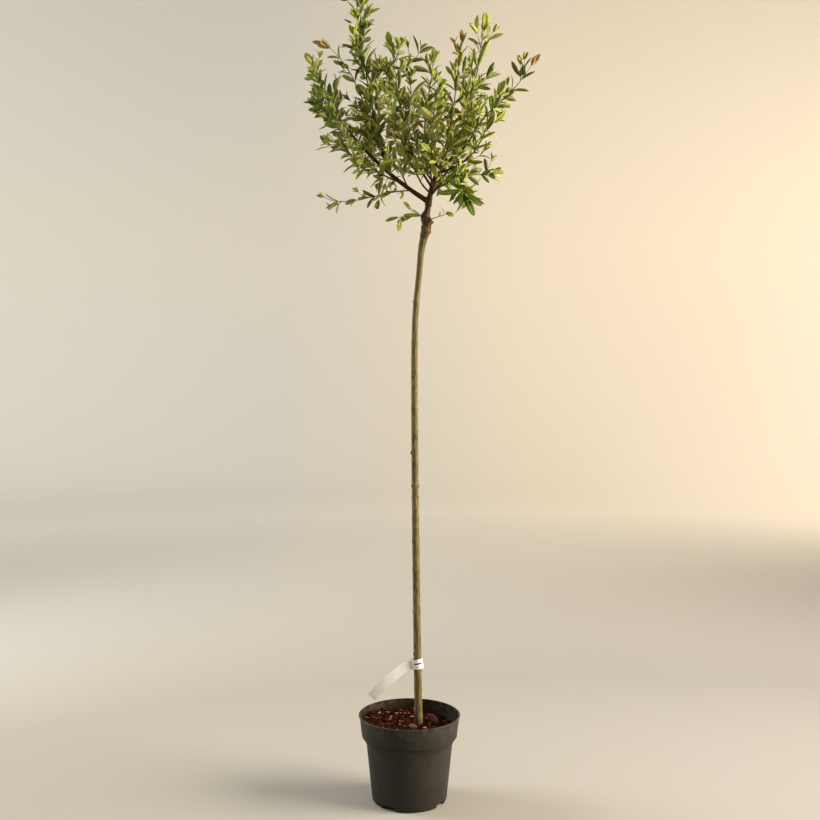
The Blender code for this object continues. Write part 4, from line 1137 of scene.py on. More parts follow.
def add_crumb(pile, matrix, size, chance):
    """A small crumb of peat or bark, as a crooked octahedron."""
    ends = ((1, 0, 0), (0, 1, 0), (-1, 0, 0), (0, -1, 0), (0, 0, 0.7), (0, 0, -0.7))
    points = [matrix @ (Vector(end) * size * chance.uniform(0.6, 1.25)) for end in ends]
    faces = []
    for number in range(4):
        after = (number + 1) % 4
        faces += [(4, number, after), (5, after, number)]
    pile.add(points, faces)


def random_place(chance, edge):
    """A place on the bed that keeps off the pot's wall and the stem's foot."""
    while True:
        radius = (band_radius(SURFACE_Z) - edge) * math.sqrt(chance.random())
        angle = chance.uniform(0.0, math.tau)
        x = radius * math.cos(angle)
        y = radius * math.sin(angle)
        if from_stem(x, y) > STEM_CLEARANCE:
            return x, y


def make_chips():
    """Bark chips in several tints, strewn over the bed, and crumbs between them."""
    chance = random.Random("bark chips")
    piles = [Pile() for _ in CHIP_TINTS]
    shares = [share for _, share in CHIP_TINTS.values()]
    for _ in range(CHIP_COUNT):
        length = chance.triangular(*CHIP_LENGTH)
        width = length * chance.uniform(*CHIP_WIDTH)
        x, y = random_place(chance, length * 0.6)
        sunny = shares[:3] + [share * (1.8 if x < 0.0 else 0.5) for share in shares[3:]]
        pile = chance.choices(piles, sunny)[0]
        sink = chance.uniform(*CHIP_SINK)
        turn = chance.uniform(0, math.tau)
        matrix = place_on_bed(x, y, sink, turn, chance.gauss(0, CHIP_TILT), chance.gauss(0, CHIP_LEAN))
        add_chip(pile, matrix, length, width, chance.uniform(*CHIP_THICKNESS), chance)
    for _ in range(CRUMB_COUNT):
        size = chance.uniform(*CRUMB_SIZE)
        x, y = random_place(chance, size * 2.0)
        pile = chance.choices(piles[:3], shares[:3])[0]
        add_crumb(pile, place_on_bed(x, y, size * 0.3, chance.uniform(0, math.tau), 0.3, 0.2), size, chance)
    for x, y, length, turn in PALE_CHIPS:
        matrix = place_on_bed(x, y, 0.0012, math.radians(turn), 0.25, chance.uniform(-0.2, 0.2))
        width = length * chance.uniform(*PALE_CHIP_WIDTH)
        add_chip(piles[-1], matrix, length, width, PALE_CHIP_THICKNESS, chance)
    for (name, (colour, _)), pile in zip(CHIP_TINTS.items(), piles):
        make_piece(name, pile, [chip_material(name, colour)], smooth=False)


def make_lump(name, place, size, turn, slant, rough, colour):
    """A rounded lump with an uneven skin, as a cube turned to a ball."""
    corners = [(x, y, z) for x in (-1, 1) for y in (-1, 1) for z in (-1, 1)]
    faces = [(0, 1, 3, 2), (4, 6, 7, 5), (0, 4, 5, 1), (2, 3, 7, 6), (0, 2, 6, 4), (1, 5, 7, 3)]
    piece = place_object(name, make_mesh(name, corners, faces, [chip_material(name, colour)]))
    smoother = piece.modifiers.new("ball", "SUBSURF")
    smoother.levels = 5
    smoother.render_levels = 5
    apply_modifiers(piece)
    x, y, sunk = place
    spin = Matrix.Rotation(math.radians(turn), 4, "Z") @ Matrix.Rotation(math.radians(slant), 4, "Y")
    grow = Matrix.Translation((x, y, surface_height(x, y) + sunk)) @ spin @ Matrix.Diagonal((*size, 1.0))
    shift = Vector(place) * 90.0
    for vertex in piece.data.vertices:
        ball = vertex.co.normalized() * 0.5
        ridges = noise.noise(Vector((ball.x * 3.0, ball.y * 14.0, ball.z * 14.0)) + shift)
        swell = 1.0 + rough * noise.fractal(ball * 4.0 + shift, 1.0, 2.0, 4) + rough * 0.35 * ridges
        vertex.co = grow @ (ball * swell)
    piece.data.shade_smooth()
    claim(piece)


# Trunk


def trunk_samples():
    places = [Vector(place) for place in TRUNK_LINE]
    return [smooth_line(places, number / TRUNK_SAMPLES) for number in range(TRUNK_SAMPLES + 1)]


def trunk_line():
    """The source's rings: far apart on the plain stem and close together at the flare and the graft."""
    samples = trunk_samples()
    line = [samples[0]]
    for point in samples[1:-1]:
        near_foot = point.z < SURFACE_Z + FLARE_HEIGHT * 3.5
        near_graft = point.z > GRAFT_Z - GRAFT_FALL_BELOW
        if point.z - line[-1].z >= (FINE_RING_STEP if near_foot or near_graft else PLAIN_RING_STEP):
            line.append(point)
    line.append(samples[-1])
    return line


def skin_turn(angle, heading, radius):
    """How far round the skin an angle is from a heading."""
    return math.remainder(angle - math.radians(heading), math.tau) * radius


def knob_rise(knob, height, angle, radius):
    """How far a knob stands out of the skin at a place."""
    knob_height, heading, stands_out, spread = knob
    return stands_out * bell(math.hypot(skin_turn(angle, heading, radius), height - knob_height), spread)


def trunk_radius(height, angle=None):
    """Radius of the trunk at a height, with the root flare, the graft's swelling and its knobs."""
    share = (height - SURFACE_Z) / (TRUNK_LINE[-1][2] - SURFACE_Z)
    radius = TRUNK_FOOT_RADIUS + (TRUNK_TOP_RADIUS - TRUNK_FOOT_RADIUS) * share
    fall = GRAFT_FALL_BELOW if height < GRAFT_Z else GRAFT_FALL_ABOVE
    radius += GRAFT_SWELL * bell(height - GRAFT_Z, fall)
    flare = FLARE * math.exp(-(height - SURFACE_Z) / FLARE_HEIGHT)
    if angle is None:
        return radius + flare
    radius += flare * (0.65 + 0.35 * math.cos(FLARE_LOBES * (angle - math.radians(FLARE_TURN))))
    for knob in KNOBS:
        radius += knob_rise(knob, height, angle, radius)
    return radius


def trunk_relief(point, height, angle, radius):
    """How far the bark stands out of the plain stem: ribs, nodes, buds, scars and the graft's burr."""
    out = 0.0
    for size, round_stem, up_stem in STEM_RIBS:
        place = Vector((math.cos(angle) * round_stem, math.sin(angle) * round_stem, height * up_stem))
        out += size * noise.noise(place)
    for bud_height, heading, stands_out in BUDS:
        up = height - bud_height
        if abs(up) > BUD_REACH:
            continue
        turn = skin_turn(angle, heading, radius)
        out += NODE_RIDGE[0] * bell(up, NODE_RIDGE[1])
        out += stands_out * bell(turn, BUD_SPREAD[0]) * bell(up - BUD_RISE, BUD_SPREAD[1])
        out -= BUD_SCAR[0] * bell(turn, BUD_SCAR[1]) * bell(up + BUD_SCAR_FALL, BUD_SCAR[2])
    for scar_height, heading in SCARS:
        away = math.hypot(skin_turn(angle, heading, radius), height - scar_height)
        out += SCAR_LIP[0] * bell(away - SCAR_LIP[1], SCAR_LIP[2]) - SCAR_PIT[0] * bell(away, SCAR_PIT[1])
    for knob in BURRS:
        out += knob_rise(knob, height, angle, radius)
    burr = bell(height - GRAFT_Z, BURR_REACH)
    burr += 0.5 * math.exp(-((height - SURFACE_Z) / FOOT_BURR_REACH))
    if burr > 0.02:
        out += burr * BURR_ROUGHNESS * noise.fractal(point * 170.0, 1.0, 2.1, 4)
        crack = abs(noise.noise(Vector((point.x * 240.0, point.y * 240.0, point.z * 110.0))))
        out -= burr * CRACK_DEPTH * max(0.0, 1.0 - crack * 8.0)
    return out


def skin_place(height, heading):
    """A place on the trunk's plain skin."""
    centre = min(trunk_samples(), key=lambda point: abs(point.z - height))
    return centre + direction(heading) * trunk_radius(height, math.radians(heading))


def skin_heights(low, high):
    """Heights of the skin's rings, close together at the foot and at the graft."""
    heights = [low]
    while heights[-1] < high:
        is_fine = heights[-1] < FINE_SKIN_FOOT or heights[-1] > FINE_SKIN_HEAD
        heights.append(min(heights[-1] + (FINE_SKIN_STEP if is_fine else SKIN_STEP), high))
    return heights


def make_trunk():
    """The trunk's skin, ring by ring, with the bark's relief."""
    samples = trunk_samples()
    heights = skin_heights(samples[0].z, samples[-1].z)
    points = []
    index = 0
    for height in heights:
        while index < TRUNK_SAMPLES - 1 and samples[index + 1].z < height:
            index += 1
        share = (height - samples[index].z) / (samples[index + 1].z - samples[index].z)
        centre = samples[index].lerp(samples[index + 1], share)
        for side, (x, y) in enumerate(circle(SKIN_SIDES)):
            angle = math.tau * side / SKIN_SIDES
            outward = Vector((x, y, 0.0))
            radius = trunk_radius(height, angle)
            radius += trunk_relief(centre + outward * radius, height, angle, radius)
            points.append(centre + outward * radius)
    pile = Pile()
    pile.add(points, side_faces(len(heights), SKIN_SIDES) + end_caps(len(heights), SKIN_SIDES))
    make_piece("trunk_bark", pile, [stem_bark()], ["trunk"])


# Tag


def tag_line(stem, stem_radius, finer):
    """The strip's middle line, and the direction across it at each point."""
    points = []
    across = []
    half_depth = stem_radius + TAG_LOOP_SEAT
    tilt = math.radians(TAG_TILT)
    loop_steps = TAG_LOOP_STEPS * finer
    for step in range(loop_steps + 1):
        angle = math.radians(TAG_LOOP_START + (TAG_LOOP_END - TAG_LOOP_START) * step / loop_steps)
        x = TAG_LOOP_HALF_WIDTH * math.cos(angle)
        points.append(stem + Vector((x, half_depth * math.sin(angle), math.tan(tilt) * x)))
        across.append(Vector((-math.sin(tilt), 0.0, math.cos(tilt))))
    tail_steps = TAG_TAIL_STEPS * finer
    for step in range(tail_steps):
        share = (step + 1) / tail_steps
        fall = math.radians(TAG_TAIL_FALL + (TAG_TAIL_END_FALL - TAG_TAIL_FALL) * share)
        fall = tilt + (fall - tilt) * min(share * TAG_TAIL_STEPS / 1.5, 1.0)
        forward = -TAG_TAIL_FORWARD / TAG_TAIL_LENGTH
        move = Vector((-math.cos(fall), forward, -math.sin(fall))).normalized()
        points.append(points[-1] + move * TAG_TAIL_LENGTH / tail_steps)
        across.append(Vector((-math.sin(fall), 0.0, math.cos(fall))))
    return points, across


def add_strip(pile, points, across, low, high, lift, thick):
    """A thin closed strip between two edges across a line, lifted off it along its face."""
    corners = []
    last = len(points) - 1
    for number, (point, wide) in enumerate(zip(points, across)):
        ahead = points[min(number + 1, last)] - points[max(number - 1, 0)]
        out = -ahead.cross(wide).normalized()
        near = point + out * (lift - thick / 2.0)
        far = point + out * (lift + thick / 2.0)
        corners += [near + wide * low, near + wide * high, far + wide * high, far + wide * low]
    pile.add(corners, end_caps(len(points), 4) + side_faces(len(points), 4))


def make_tag():
    """The strip, and the plain printed lines where its loop faces the front."""
    stem = min(trunk_samples(), key=lambda point: abs(point.z - TAG_Z))
    points, across = tag_line(stem, trunk_radius(TAG_Z), TAG_FINER)
    strip = Pile()
    add_strip(strip, points, across, -TAG_WIDTH / 2.0, TAG_WIDTH / 2.0, 0.0, TAG_THICKNESS)
    tag = make_piece("tag_strip", strip, [tag_material()], ["tag"], smooth=False)
    crease(tag, TAG_CREASE)
    lines = Pile()
    loop = points[: TAG_LOOP_STEPS * TAG_FINER]
    front = [number for number, point in enumerate(loop) if point.y < stem.y - 0.003]
    for start, stop, middle, tall in TAG_LINES:
        chosen = front[int(len(front) * start): int(len(front) * stop)]
        line = [points[number] for number in chosen]
        wide = [across[number] for number in chosen]
        lift = TAG_THICKNESS / 2.0 + PRINT_LIFT
        add_strip(lines, line, wide, middle - tall / 2.0, middle + tall / 2.0, lift, PRINT_LIFT * 2.0)
    make_piece("tag_print", lines, [print_material()], smooth=False)


# Boughs


def plan_boughs(trunk):
    """Every limb's centre line and radii, by name, in growing order, and the finer lines that are drawn."""
    limbs = {"trunk": (trunk, [trunk_radius(point.z) for point in trunk])}
    drawn = {}
    for bough in BOUGHS:
        start, heading = along(limbs[bough.parent][0], bough.place)
        end = crown_point(bough.heading, bough.out, bough.up)
        leaving = None
        if bough.place == 1.0:
            leaving = heading
            start = start + heading * GAP
        line = limb_line(start, end, bough.sweep, BOUGH_STEPS, leaving)
        limbs[bough.name] = (line, tapered(bough.thick, bough.thin, len(line)))
        drawn[bough.name] = limb_line(start, end, bough.sweep, BOUGH_DRAWN_STEPS, leaving, lead=0.0)
    return limbs, drawn


def add_bough(pile, bough, line):
    """A bough's tube with a collar and knots, that starts inside its parent and ends inside its mass."""
    line = list(line)
    if bough.place == 1.0:
        line.insert(0, line[0] - (line[1] - line[0]).normalized() * bough.thick * 2.0)
    line.append(line[-1] + (line[-1] - line[-2]).normalized() * 0.004)
    radii = tapered(bough.thick, bough.thin, len(line))
    gone = 0.0
    for number, point in enumerate(line):
        if number:
            gone += (point - line[number - 1]).length
        radii[number] *= 1.0 + COLLAR * math.exp(-gone / (bough.thick * 2.2))
        radii[number] *= 1.0 + KNOTS * noise.noise(point * 90.0)
    pile.add_tube(line, radii, BOUGH_DRAWN_SIDES, [0] * (len(line) - 1))


def make_boughs(drawn):
    """All boughs grown together into one skin, with collars where they part and bark on it."""
    pile = Pile()
    for bough in BOUGHS:
        add_bough(pile, bough, drawn[bough.name])
    materials = [bough_bark("bough_bark", *BOUGH_SHADES)]
    boughs = make_piece("boughs_bark", pile, materials, [bough.name for bough in BOUGHS])
    skin = boughs.modifiers.new("skin", "REMESH")
    skin.mode = "VOXEL"
    skin.voxel_size = BARK_VOXEL
    rounder = boughs.modifiers.new("rounder", "SMOOTH")
    rounder.factor = 0.5
    rounder.iterations = 3
    apply_modifiers(boughs)
    mesh = boughs.data
    normals = [vertex.normal.copy() for vertex in mesh.vertices]
    for vertex, normal in zip(mesh.vertices, normals):
        place = vertex.co
        relief = 0.00022 * noise.fractal(place * 260.0, 1.0, 2.0, 3)
        relief += 0.00016 * noise.noise(Vector((place.x * 700, place.y * 700, place.z * 130)))
        vertex.co = place + normal * relief
    mesh.shade_smooth()


# Shoots


def plan_stems(limbs):
    """Each mass's table row, its stem line, the stem's radius where it starts, and its drawn line."""
    stems = []
    for mass in MASSES:
        bough_line, bough_radii = limbs[mass.bough]
        leaving = (bough_line[-1] - bough_line[-2]).normalized()
        start = bough_line[-1] + leaving * GAP
        end = crown_point(mass.heading, mass.out, mass.up)
        line = limb_line(start, end, mass.sweep, STEM_STEPS, leaving, mass.sag)
        drawn = limb_line(start, end, mass.sweep, STEM_DRAWN_STEPS, leaving, mass.sag, 0.0)
        stems.append((mass, line, bough_radii[-1], drawn))
    for sucker in SUCKERS:
        root = min(limbs["trunk"][0], key=lambda point: abs(point.z - sucker.height))
        away = direction(sucker.heading)
        start = root + away * trunk_radius(root.z, math.radians(sucker.heading))
        end = crown_point(sucker.heading, sucker.out, sucker.up)
        line = limb_line(start, end, sucker.sweep, STEM_STEPS, away)
        tip = start.lerp(end, SUCKER_DRAWN_SHARE)
        arch = (away + UP * SUCKER_ARCH).normalized()
        drawn = limb_line(start - away * 0.003, tip, sucker.sweep, STEM_DRAWN_STEPS, arch, lead=0.0)
        stems.append((sucker, line, SUCKER_RADIUS, drawn))
    return stems


def tree_of(points):
    """A tree that finds the nearest of the points."""
    tree = KDTree(len(points))
    for index, point in enumerate(points):
        tree.insert(point, index)
    tree.balance()
    return tree


class Spaces:
    """Which mass each point of the crown belongs to: the one whose stem is nearest."""

    def __init__(self, stems, limbs):
        self.owners = [number for number in range(len(stems)) for _ in range(STEM_SAMPLES + 1)]
        lines = [stem[1] for stem in stems]
        steps = range(STEM_SAMPLES + 1)
        self.stem_tree = tree_of([along(line, step / STEM_SAMPLES)[0] for line in lines for step in steps])
        points = []
        self.radii = []
        for line, radii in limbs.values():
            for step in range(LIMB_SAMPLES + 1):
                place = step / LIMB_SAMPLES
                points.append(along(line, place)[0])
                self.radii.append(radii[min(round(place * (len(radii) - 1)), len(radii) - 1)])
        self.limb_tree = tree_of(points)

    def holds(self, number, point, thick=0.0):
        """True where a point is well inside a mass's own space and clear of every limb."""
        found = self.stem_tree.find_n(point, STEM_NEIGHBOURS)
        own = min((away for _, index, away in found if self.owners[index] == number), default=None)
        if own is None:
            return False
        other = min((away for _, index, away in found if self.owners[index] != number), default=9.0)
        if own + 2.0 * (SPACE_MARGIN + thick) > other:
            return False
        return self.is_clear(point, thick + LIMB_MARGIN)

    def is_clear(self, point, margin):
        """True where a point is off every limb's skin by a margin."""
        found = self.limb_tree.find_n(point, LIMB_NEIGHBOURS)
        return all(away >= self.radii[index] + margin for _, index, away in found)


def twig_line(start, heading, length, steps):
    """A twig that sets off along its heading and turns up towards the sky."""
    line = [start]
    for step in range(steps):
        lift = TWIG_LIFT * (step + 0.5) / steps
        turned_up = heading.lerp(UP, lift).normalized()
        line.append(line[-1] + turned_up * length / steps)
    return line


def leaning(line, fraction, number, lean, wobble):
    """A direction that leans off a line by an angle, out through the middle of one of its three faces."""
    _, tangent = along(line, fraction)
    place = min(int(fraction * (len(line) - 1)), len(line) - 2)
    turn = math.tau * (number + 0.5) / TWIG_SIDES + wobble
    outward = square_to(tangent, between(frames(line)[place], turn))
    return tangent * math.cos(lean) + outward * math.sin(lean)


def plan_twigs(number, line, reach, spaces, chance):
    """The side twigs of one stem, each as its start, heading and length, and its share of the stem."""
    twigs = []
    count = max(int(line_length(line) * (1.0 - BARE_STEM) / TWIG_SPACING), FEWEST_TWIGS)
    face = chance.randrange(TWIG_SIDES)
    for step in range(count):
        share = BARE_STEM + (1.0 - BARE_STEM) * (step + 0.3) / count
        lean = math.radians(TWIG_LEAN * chance.uniform(0.8, 1.1))
        heading = leaning(line, share, face + step, lean, chance.uniform(-0.3, 0.3))
        size = reach * (1.0 - 0.55 * share) * chance.uniform(0.8, 1.1)
        start, _ = along(line, share)
        while size > SHORTEST_TWIG:
            candidate = twig_line(start, heading, size, TWIG_STEPS)
            if all(spaces.holds(number, point, TWIG_RADIUS) for point in candidate[1:]):
                twigs.append((start, heading, size, share))
                break
            size *= SHRINK
    return twigs


def leaf_half_width(share, width):
    """Half a leaf's width at a share of its length: a stalk, then oblong with a blunt tip."""
    if share > LEAF_ROWS[0]:
        return width / 2.0 * math.sin(math.pi * share**1.22) ** 0.62
    return PETIOLE_HALF_WIDTH


def leaf_points(root, heading, upward, length, width, curl, fold):
    """Points of one leaf: its base, rows of points round its section, and its tip."""
    across = np.array(heading.cross(upward))
    heading = np.array(heading)
    upward = np.array(upward)
    root = np.array(root)
    points = [root]
    for share in LEAF_ROWS:
        bend = curl * share
        reach = math.sin(bend) / curl
        drop = (1.0 - math.cos(bend)) / curl
        centre = root + (heading * reach - upward * drop) * length
        normal = upward * math.cos(bend) + heading * math.sin(bend)
        half = leaf_half_width(share, width)
        for column in LEAF_COLUMNS:
            rise = fold * abs(column) * half
            if abs(column) < 0.2:
                rise -= LEAF_THICKNESS * 0.4
            elif abs(column) < 0.9:
                rise += LEAF_THICKNESS * (1.2 if round(share * 50.0) % 2 else 0.4)
            points.append(centre + across * (column * half) + normal * rise)
        points.append(centre - normal * LEAF_THICKNESS * (1.9 - share))
    points.append(root + (heading * math.sin(curl) - upward * (1.0 - math.cos(curl))) / curl * length)
    return points


def leaf_faces():
    """Faces and slots of one leaf: from its base, along its rows, and to its tip."""
    around = len(LEAF_SLOTS)
    tip = 1 + around * len(LEAF_ROWS)
    pairs = [(column, (column + 1) % around) for column in range(around)]
    faces = [(0, 1 + after, 1 + column) for column, after in pairs]
    faces += side_faces(len(LEAF_ROWS), around, 1)
    faces += [(tip, tip - around + column, tip - around + after) for column, after in pairs]
    return faces, LEAF_SLOTS * (len(LEAF_ROWS) + 1)


class Crown:
    """Gathers the twigs and, tint by tint, the leaves."""

    def __init__(self, spaces):
        self.spaces = spaces
        self.twigs = Pile()
        self.leaves = {tint: Pile() for tint in TINTS}
        self.leaf_faces = leaf_faces()

    def add_leaf(self, node, tangent, outward, lean, length, tint, chance, wide=1.0, is_end=False):
        """A leaf at a node that leans off its shoot, its upper side to the sky, or to the front at an end."""
        heading = (tangent * math.cos(lean) + outward * math.sin(lean)).normalized()
        heading = (heading - UP * LEAF_DROOP).normalized()
        upward = tangent * math.sin(lean) - outward * math.cos(lean) + UP * LEAF_TO_SKY
        upward = square_to(heading, upward)
        if is_end:
            upward = square_to(heading, direction(290.0 + chance.gauss(0.0, 30.0), 20.0))
        else:
            upward.rotate(Matrix.Rotation(chance.gauss(0.0, LEAF_ROLL), 3, heading))
        width = LEAF_WIDTH * (length / LEAF_LENGTH) ** 0.35 * chance.uniform(*LEAF_WIDTHS) * wide
        curl = chance.uniform(*LEAF_CURL)
        fold = chance.uniform(*LEAF_FOLD)
        tip = node + heading * length
        if all(self.spaces.is_clear(point, LEAF_MARGIN) for point in (tip, node.lerp(tip, 0.6))):
            points = leaf_points(node, heading, upward, length, width, curl, fold)
            self.leaves[tint].add(points, *self.leaf_faces)

    def add_rosette(self, line, chance):
        """Long leaves that spread all round from the end of a shoot."""
        for number in range(ROSETTE_COUNT):
            outward = between(frames(line)[-1], ROSETTE_TURN * number)
            node, tangent = along(line, 1.0 - ROSETTE_DEPTH * number / ROSETTE_COUNT)
            lean = math.radians(ROSETTE_LEAN[0] + ROSETTE_LEAN[1] * number / ROSETTE_COUNT)
            tint = chance.choice(ROSETTE_TINTS)
            length = ROSETTE_LEAF * chance.uniform(0.75, 1.15)
            self.add_leaf(node, tangent, outward, lean, length, tint, chance, ROSETTE_WIDTH)

    def dress(self, line, kind, family, tip_tint, chance, leaf=LEAF_LENGTH, pace=1.0, end=0.0):
        """One shoot: its tube, a pair of leaves at each node, and a tuft at its tip."""
        tints = chance.choices(SPRAYS, SPRAY_SHARES[family])[0]
        spans = len(line) - 1
        wavy = [line[0]]
        for number in range(1, spans + 1):
            shift = noise.noise_vector(line[number] * 70.0) * WOBBLE * min(number / 3.0, 1.0)
            wavy.append(line[number] + shift)
        slots = []
        for span in range(spans):
            age = kind.age + (kind.end_age - kind.age) * span / max(spans - 1, 1)
            slots.append(min(int(age * len(TWIG_BARKS)), len(TWIG_BARKS) - 1))
        self.twigs.add_tube(wavy, tapered(kind.thick, kind.thin, spans + 1), kind.sides, slots)
        size = leaf * kind.leaf
        step = kind.pace * pace
        length = line_length(wavy)
        pairs = frames(wavy)
        turn = chance.uniform(0.0, math.tau)
        tinted, _ = RARE_TINT_FROM if tip_tint in RARE_TINTS else TIP_TINT_FROM
        place = kind.first
        while place < length - step * 0.3:
            share = place / length
            point, tangent = along(wavy, share)
            pair = pairs[min(int(share * spans), spans)]
            grown = 0.72 + 0.28 * min(share / 0.25, 1.0) - 0.38 * max(0.0, (share - 0.72) / 0.28)
            lean = math.radians(PAIR_LEAN[0] - (PAIR_LEAN[0] - PAIR_LEAN[1]) * share)
            turn += math.radians(chance.uniform(*PAIR_TURN))
            for half_turn in (0.0, math.pi):
                outward = between(pair, turn + half_turn + chance.uniform(-0.25, 0.25))
                tint = chance.choices(*tints)[0]
                if share > tinted and chance.random() < TIP_TINT_CHANCE:
                    tint = tip_tint
                node = point + tangent * chance.uniform(0.0, 0.0022)
                long = size * grown * chance.uniform(*LEAF_SIZES)
                self.add_leaf(node, tangent, outward, lean * chance.uniform(0.80, 1.2), long, tint, chance)
            place += step * chance.uniform(0.85, 1.15)
        point, tangent = along(wavy, 1.0)
        node = point - tangent * 0.001
        for number in range(3):
            outward = between(pairs[-1], turn + math.tau * number / 3.0)
            lean = math.radians(chance.uniform(*TUFT_LEAN))
            if end and number == 0:
                self.add_leaf(node, tangent, outward, END_LEAN, end, tip_tint, chance, END_WIDTH, True)
            else:
                self.add_leaf(node, tangent, outward, lean, size * TUFT_LEAF, tip_tint, chance)


def side_shoot(parent, share, number, lean, lengths, looks):
    """A short shoot that leaves its parent at a share of it."""
    heading = leaning(parent, share, number, lean, looks.uniform(-1.0, 1.0))
    start, _ = along(parent, share)
    return twig_line(start, heading, looks.uniform(*lengths), SPUR_DRAWN_STEPS)


def dress_mass(crown, number, stem):
    """One mass: its stem, the source's twigs, and spurs on both, all with leaves."""
    mass, line, radius, drawn = stem
    twigs = plan_twigs(number, line, mass.reach, crown.spaces, random.Random(mass.name))
    looks = random.Random(mass.name + " leaves")
    leaf = LEAF_LENGTH * mass.leaf
    kind = STEM._replace(thick=radius, first=line_length(drawn) * BARE_STEM)
    crown.dress(drawn, kind, mass.family, mass.tip, looks, leaf, mass.pace, mass.end)
    if mass.tip == "green":
        crown.add_rosette(drawn, looks)
    _, tinted = RARE_TINT_FROM if mass.tip in RARE_TINTS else TIP_TINT_FROM
    parents = [(drawn, 0.12, 0.9)]
    for start, heading, size, share in twigs:
        twig = twig_line(start, heading, size, TWIG_DRAWN_STEPS)
        kind = TWIG._replace(age=0.25 + 0.5 * share)
        crown.dress(twig, kind, mass.family, mass.tip if share > tinted else "fresh", looks, leaf, mass.pace)
        parents.append((twig, 0.3, 0.75))
    for parent, low, high in parents:
        spurs = int(line_length(parent) * mass.fill / SPUR_SPACING)
        for spur in range(spurs):
            share = low + (high - low) * (spur + looks.random()) / spurs
            lean = math.radians(looks.uniform(*SPUR_LEAN))
            small = side_shoot(parent, share, spur, lean, SPUR_LENGTH, looks)
            if crown.spaces.holds(number, small[-1]):
                crown.dress(small, SPUR, mass.family, "fresh", looks, leaf)


def dress_sucker(crown, stem):
    """A sucker's stem, and its sprigs laid out across the front, each with one leaf."""
    sucker, _, radius, drawn = stem
    looks = random.Random(sucker.name + " leaves")
    crown.twigs.add_tube(drawn, tapered(radius * 0.8, TWIG.thin, len(drawn)), 6, [3] * (len(drawn) - 1))
    outward = direction(sucker.heading)
    for share, rise, length, leaf_rise, leaf, wide, tint in SPRIGS[sucker.name]:
        node, _ = along(drawn, share)
        if length:
            tip = node + between((outward, UP), math.radians(rise)) * length
            stalk = [node, node.lerp(tip, 0.5), tip]
            crown.twigs.add_tube(stalk, tapered(SPRIG_RADIUS, TWIG.thin, 3), 6, [3, 3])
            node = tip
        crown.add_leaf(node, outward, UP, math.radians(leaf_rise), leaf, tint, looks, wide, True)


def dress_boughs(crown, drawn):
    """Short leafy shoots that sprout straight from the boughs."""
    looks = random.Random("bough shoots")
    fork = Vector(TRUNK_LINE[-1])
    for bough in BOUGHS[1:]:
        line = drawn[bough.name]
        shoots = int(line_length(line) / BOUGH_SHOOT_SPACING)
        for shoot in range(shoots):
            share = 0.25 + 0.72 * (shoot + looks.random()) / shoots
            lean = math.radians(looks.uniform(*BOUGH_SHOOT_LEAN))
            if (along(line, share)[0] - fork).length < BARE_REACH:
                continue
            small = side_shoot(line, share, shoot, lean, BOUGH_SHOOT_LENGTH, looks)
            if crown.spaces.is_clear(small[-1], 0.004):
                crown.dress(small, BOUGH_SHOOT, "centre", "fresh", looks)


def dress_hanging(crown, drawn):
    """Shoots that hang down below the left boughs."""
    looks = random.Random("hanging shoots")
    for name, share, heading, rise, length in HANGING_SHOOTS:
        start, _ = along(drawn[name], share)
        away = direction(heading, rise)
        falls = [UP * 0.15 * length * (step / 5.0) ** 2 for step in range(6)]
        line = [start + away * length * step / 5.0 - fall for step, fall in enumerate(falls)]
        crown.dress(line, HANGING_SHOOT, "low", "mid", looks)


def leaf_materials(tint):
    """The upper side, the underside and the rib of a tint's leaves."""
    upper = TINTS[tint]
    under = blended(upper, UNDERSIDE_TINT, UNDERSIDE_SHARE)
    rib = blended(upper, RIB_TINT, RIB_SHARE)
    sides = (("", upper, 0.50), ("_under", under, 0.62), ("_rib", rib, 0.50))
    return [leaf_material("leaf_" + tint + side, colour, roughness) for side, colour, roughness in sides]


def make_crown(limbs, drawn):
    """All shoots as one piece of twigs, and a piece of leaves for each tint."""
    stems = plan_stems(limbs)
    crown = Crown(Spaces(stems, limbs))
    dress_boughs(crown, drawn)
    dress_hanging(crown, drawn)
    for number, stem in enumerate(stems):
        if stem[0] in SUCKERS:
            dress_sucker(crown, stem)
        else:
            dress_mass(crown, number, stem)
    masses = [row.name for row in MASSES + SUCKERS]
    make_piece("twigs", crown.twigs, [bough_bark(*bark) for bark in TWIG_BARKS], masses)
    for tint, pile in crown.leaves.items():
        if pile.faces:
            make_piece("leaves_" + tint, pile, leaf_materials(tint), masses)


# Studio


def backdrop_material():
    """The backdrop's colour: painted shade on the floor by the plant that pales towards the wall, and painted
    warm light that grows from left to right.
    """
    graph = Graph("studio_floor", 0.9, 0.1)
    far = graph.remap(graph.away_from(FLOOR_SHADE_MIDDLE), *FLOOR_FADE)
    warm = graph.remap(graph.part("X"), *WARM_LIGHT_SIDE)
    colour = graph.mix(warm, graph.mix(far, FLOOR_COOL, WALL_COOL), graph.mix(far, FLOOR_WARM, WALL_WARM))
    return graph.finish(colour, graph.remap(graph.noise(3.0, 2.0), 0.3, 0.7, 0.85, 0.95))


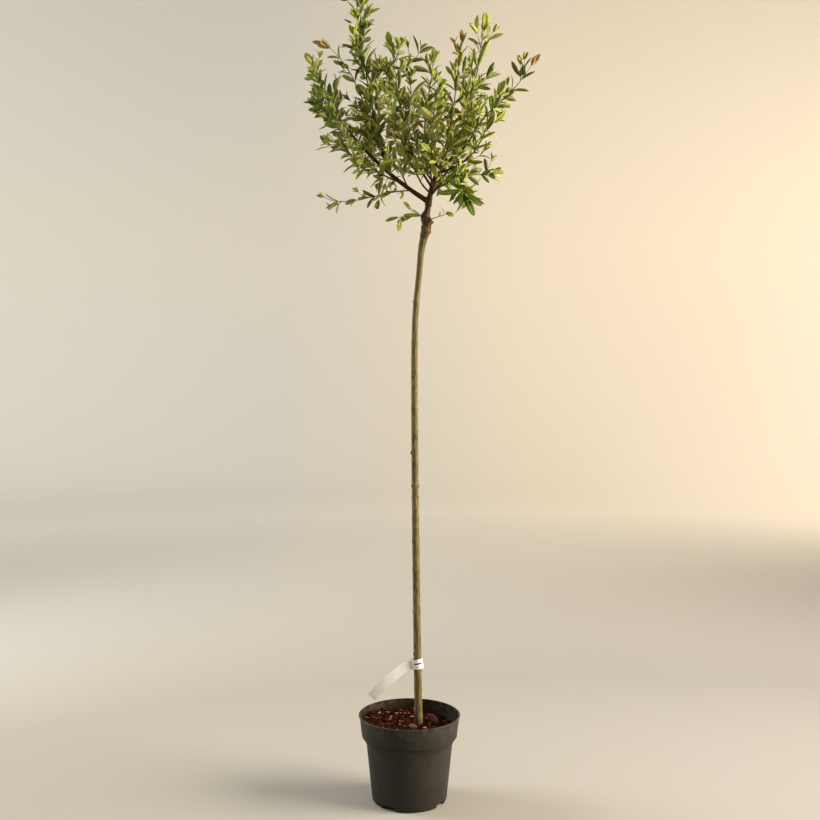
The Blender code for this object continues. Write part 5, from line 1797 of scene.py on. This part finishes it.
def make_floor():
    """A pale floor that turns up into a plain backdrop all round."""
    profile = [(1.0, 0.0), (FLOOR_RADIUS, 0.0)]
    for step in range(1, 13):
        angle = math.radians(90.0 * step / 12)
        profile.append((FLOOR_RADIUS + COVE_RADIUS * math.sin(angle), COVE_RADIUS * (1.0 - math.cos(angle))))
    profile.append((FLOOR_RADIUS + COVE_RADIUS, COVE_TOP))
    faces = [tuple(range(FLOOR_SEGMENTS))] + side_faces(len(profile), FLOOR_SEGMENTS, inward=True)
    mesh = make_mesh("studio_floor", rings_of(profile, FLOOR_SEGMENTS), faces, [backdrop_material()])
    mesh.shade_smooth()
    floor = place_object("studio_floor", mesh)
    floor.visible_shadow = False


def make_lights():
    """A dim warm sky, and the area lights."""
    world = bpy.data.worlds.new("studio")
    world.use_nodes = True
    world.node_tree.nodes["Background"].inputs["Color"].default_value = (*WORLD_COLOUR, 1.0)
    world.node_tree.nodes["Background"].inputs["Strength"].default_value = WORLD_STRENGTH
    bpy.context.scene.world = world
    for name, (place, aim, colour, power, size, fan) in LAMPS.items():
        lamp = bpy.data.lights.new(name, "AREA")
        lamp.size = size
        lamp.spread = math.radians(fan)
        lamp.energy = power
        lamp.color = colour
        light = place_object(name, lamp)
        light.location = place
        light.rotation_euler = (Vector(aim) - Vector(place)).to_track_quat("-Z", "Y").to_euler()


def make_camera():
    data = bpy.data.cameras.new("camera")
    data.sensor_width = CAMERA_SENSOR
    data.lens = CAMERA_LENS
    camera = place_object("camera", data)
    camera.location = CAMERA_PLACE
    camera.rotation_euler = (math.radians(90.0 - CAMERA_FALL), 0.0, 0.0)
    bpy.context.scene.camera = camera


def main():
    noise.seed_set(NOISE_SEED)
    make_camera()
    make_floor()
    make_lights()
    make_pot()
    make_bed()
    make_chips()
    for name, sizes in LUMPS.items():
        make_lump(name, *sizes)
    make_trunk()
    make_tag()
    limbs, drawn = plan_boughs(trunk_line())
    make_boughs(drawn)
    make_crown(limbs, drawn)
    bpy.context.scene.view_settings.view_transform = "Standard"


main()
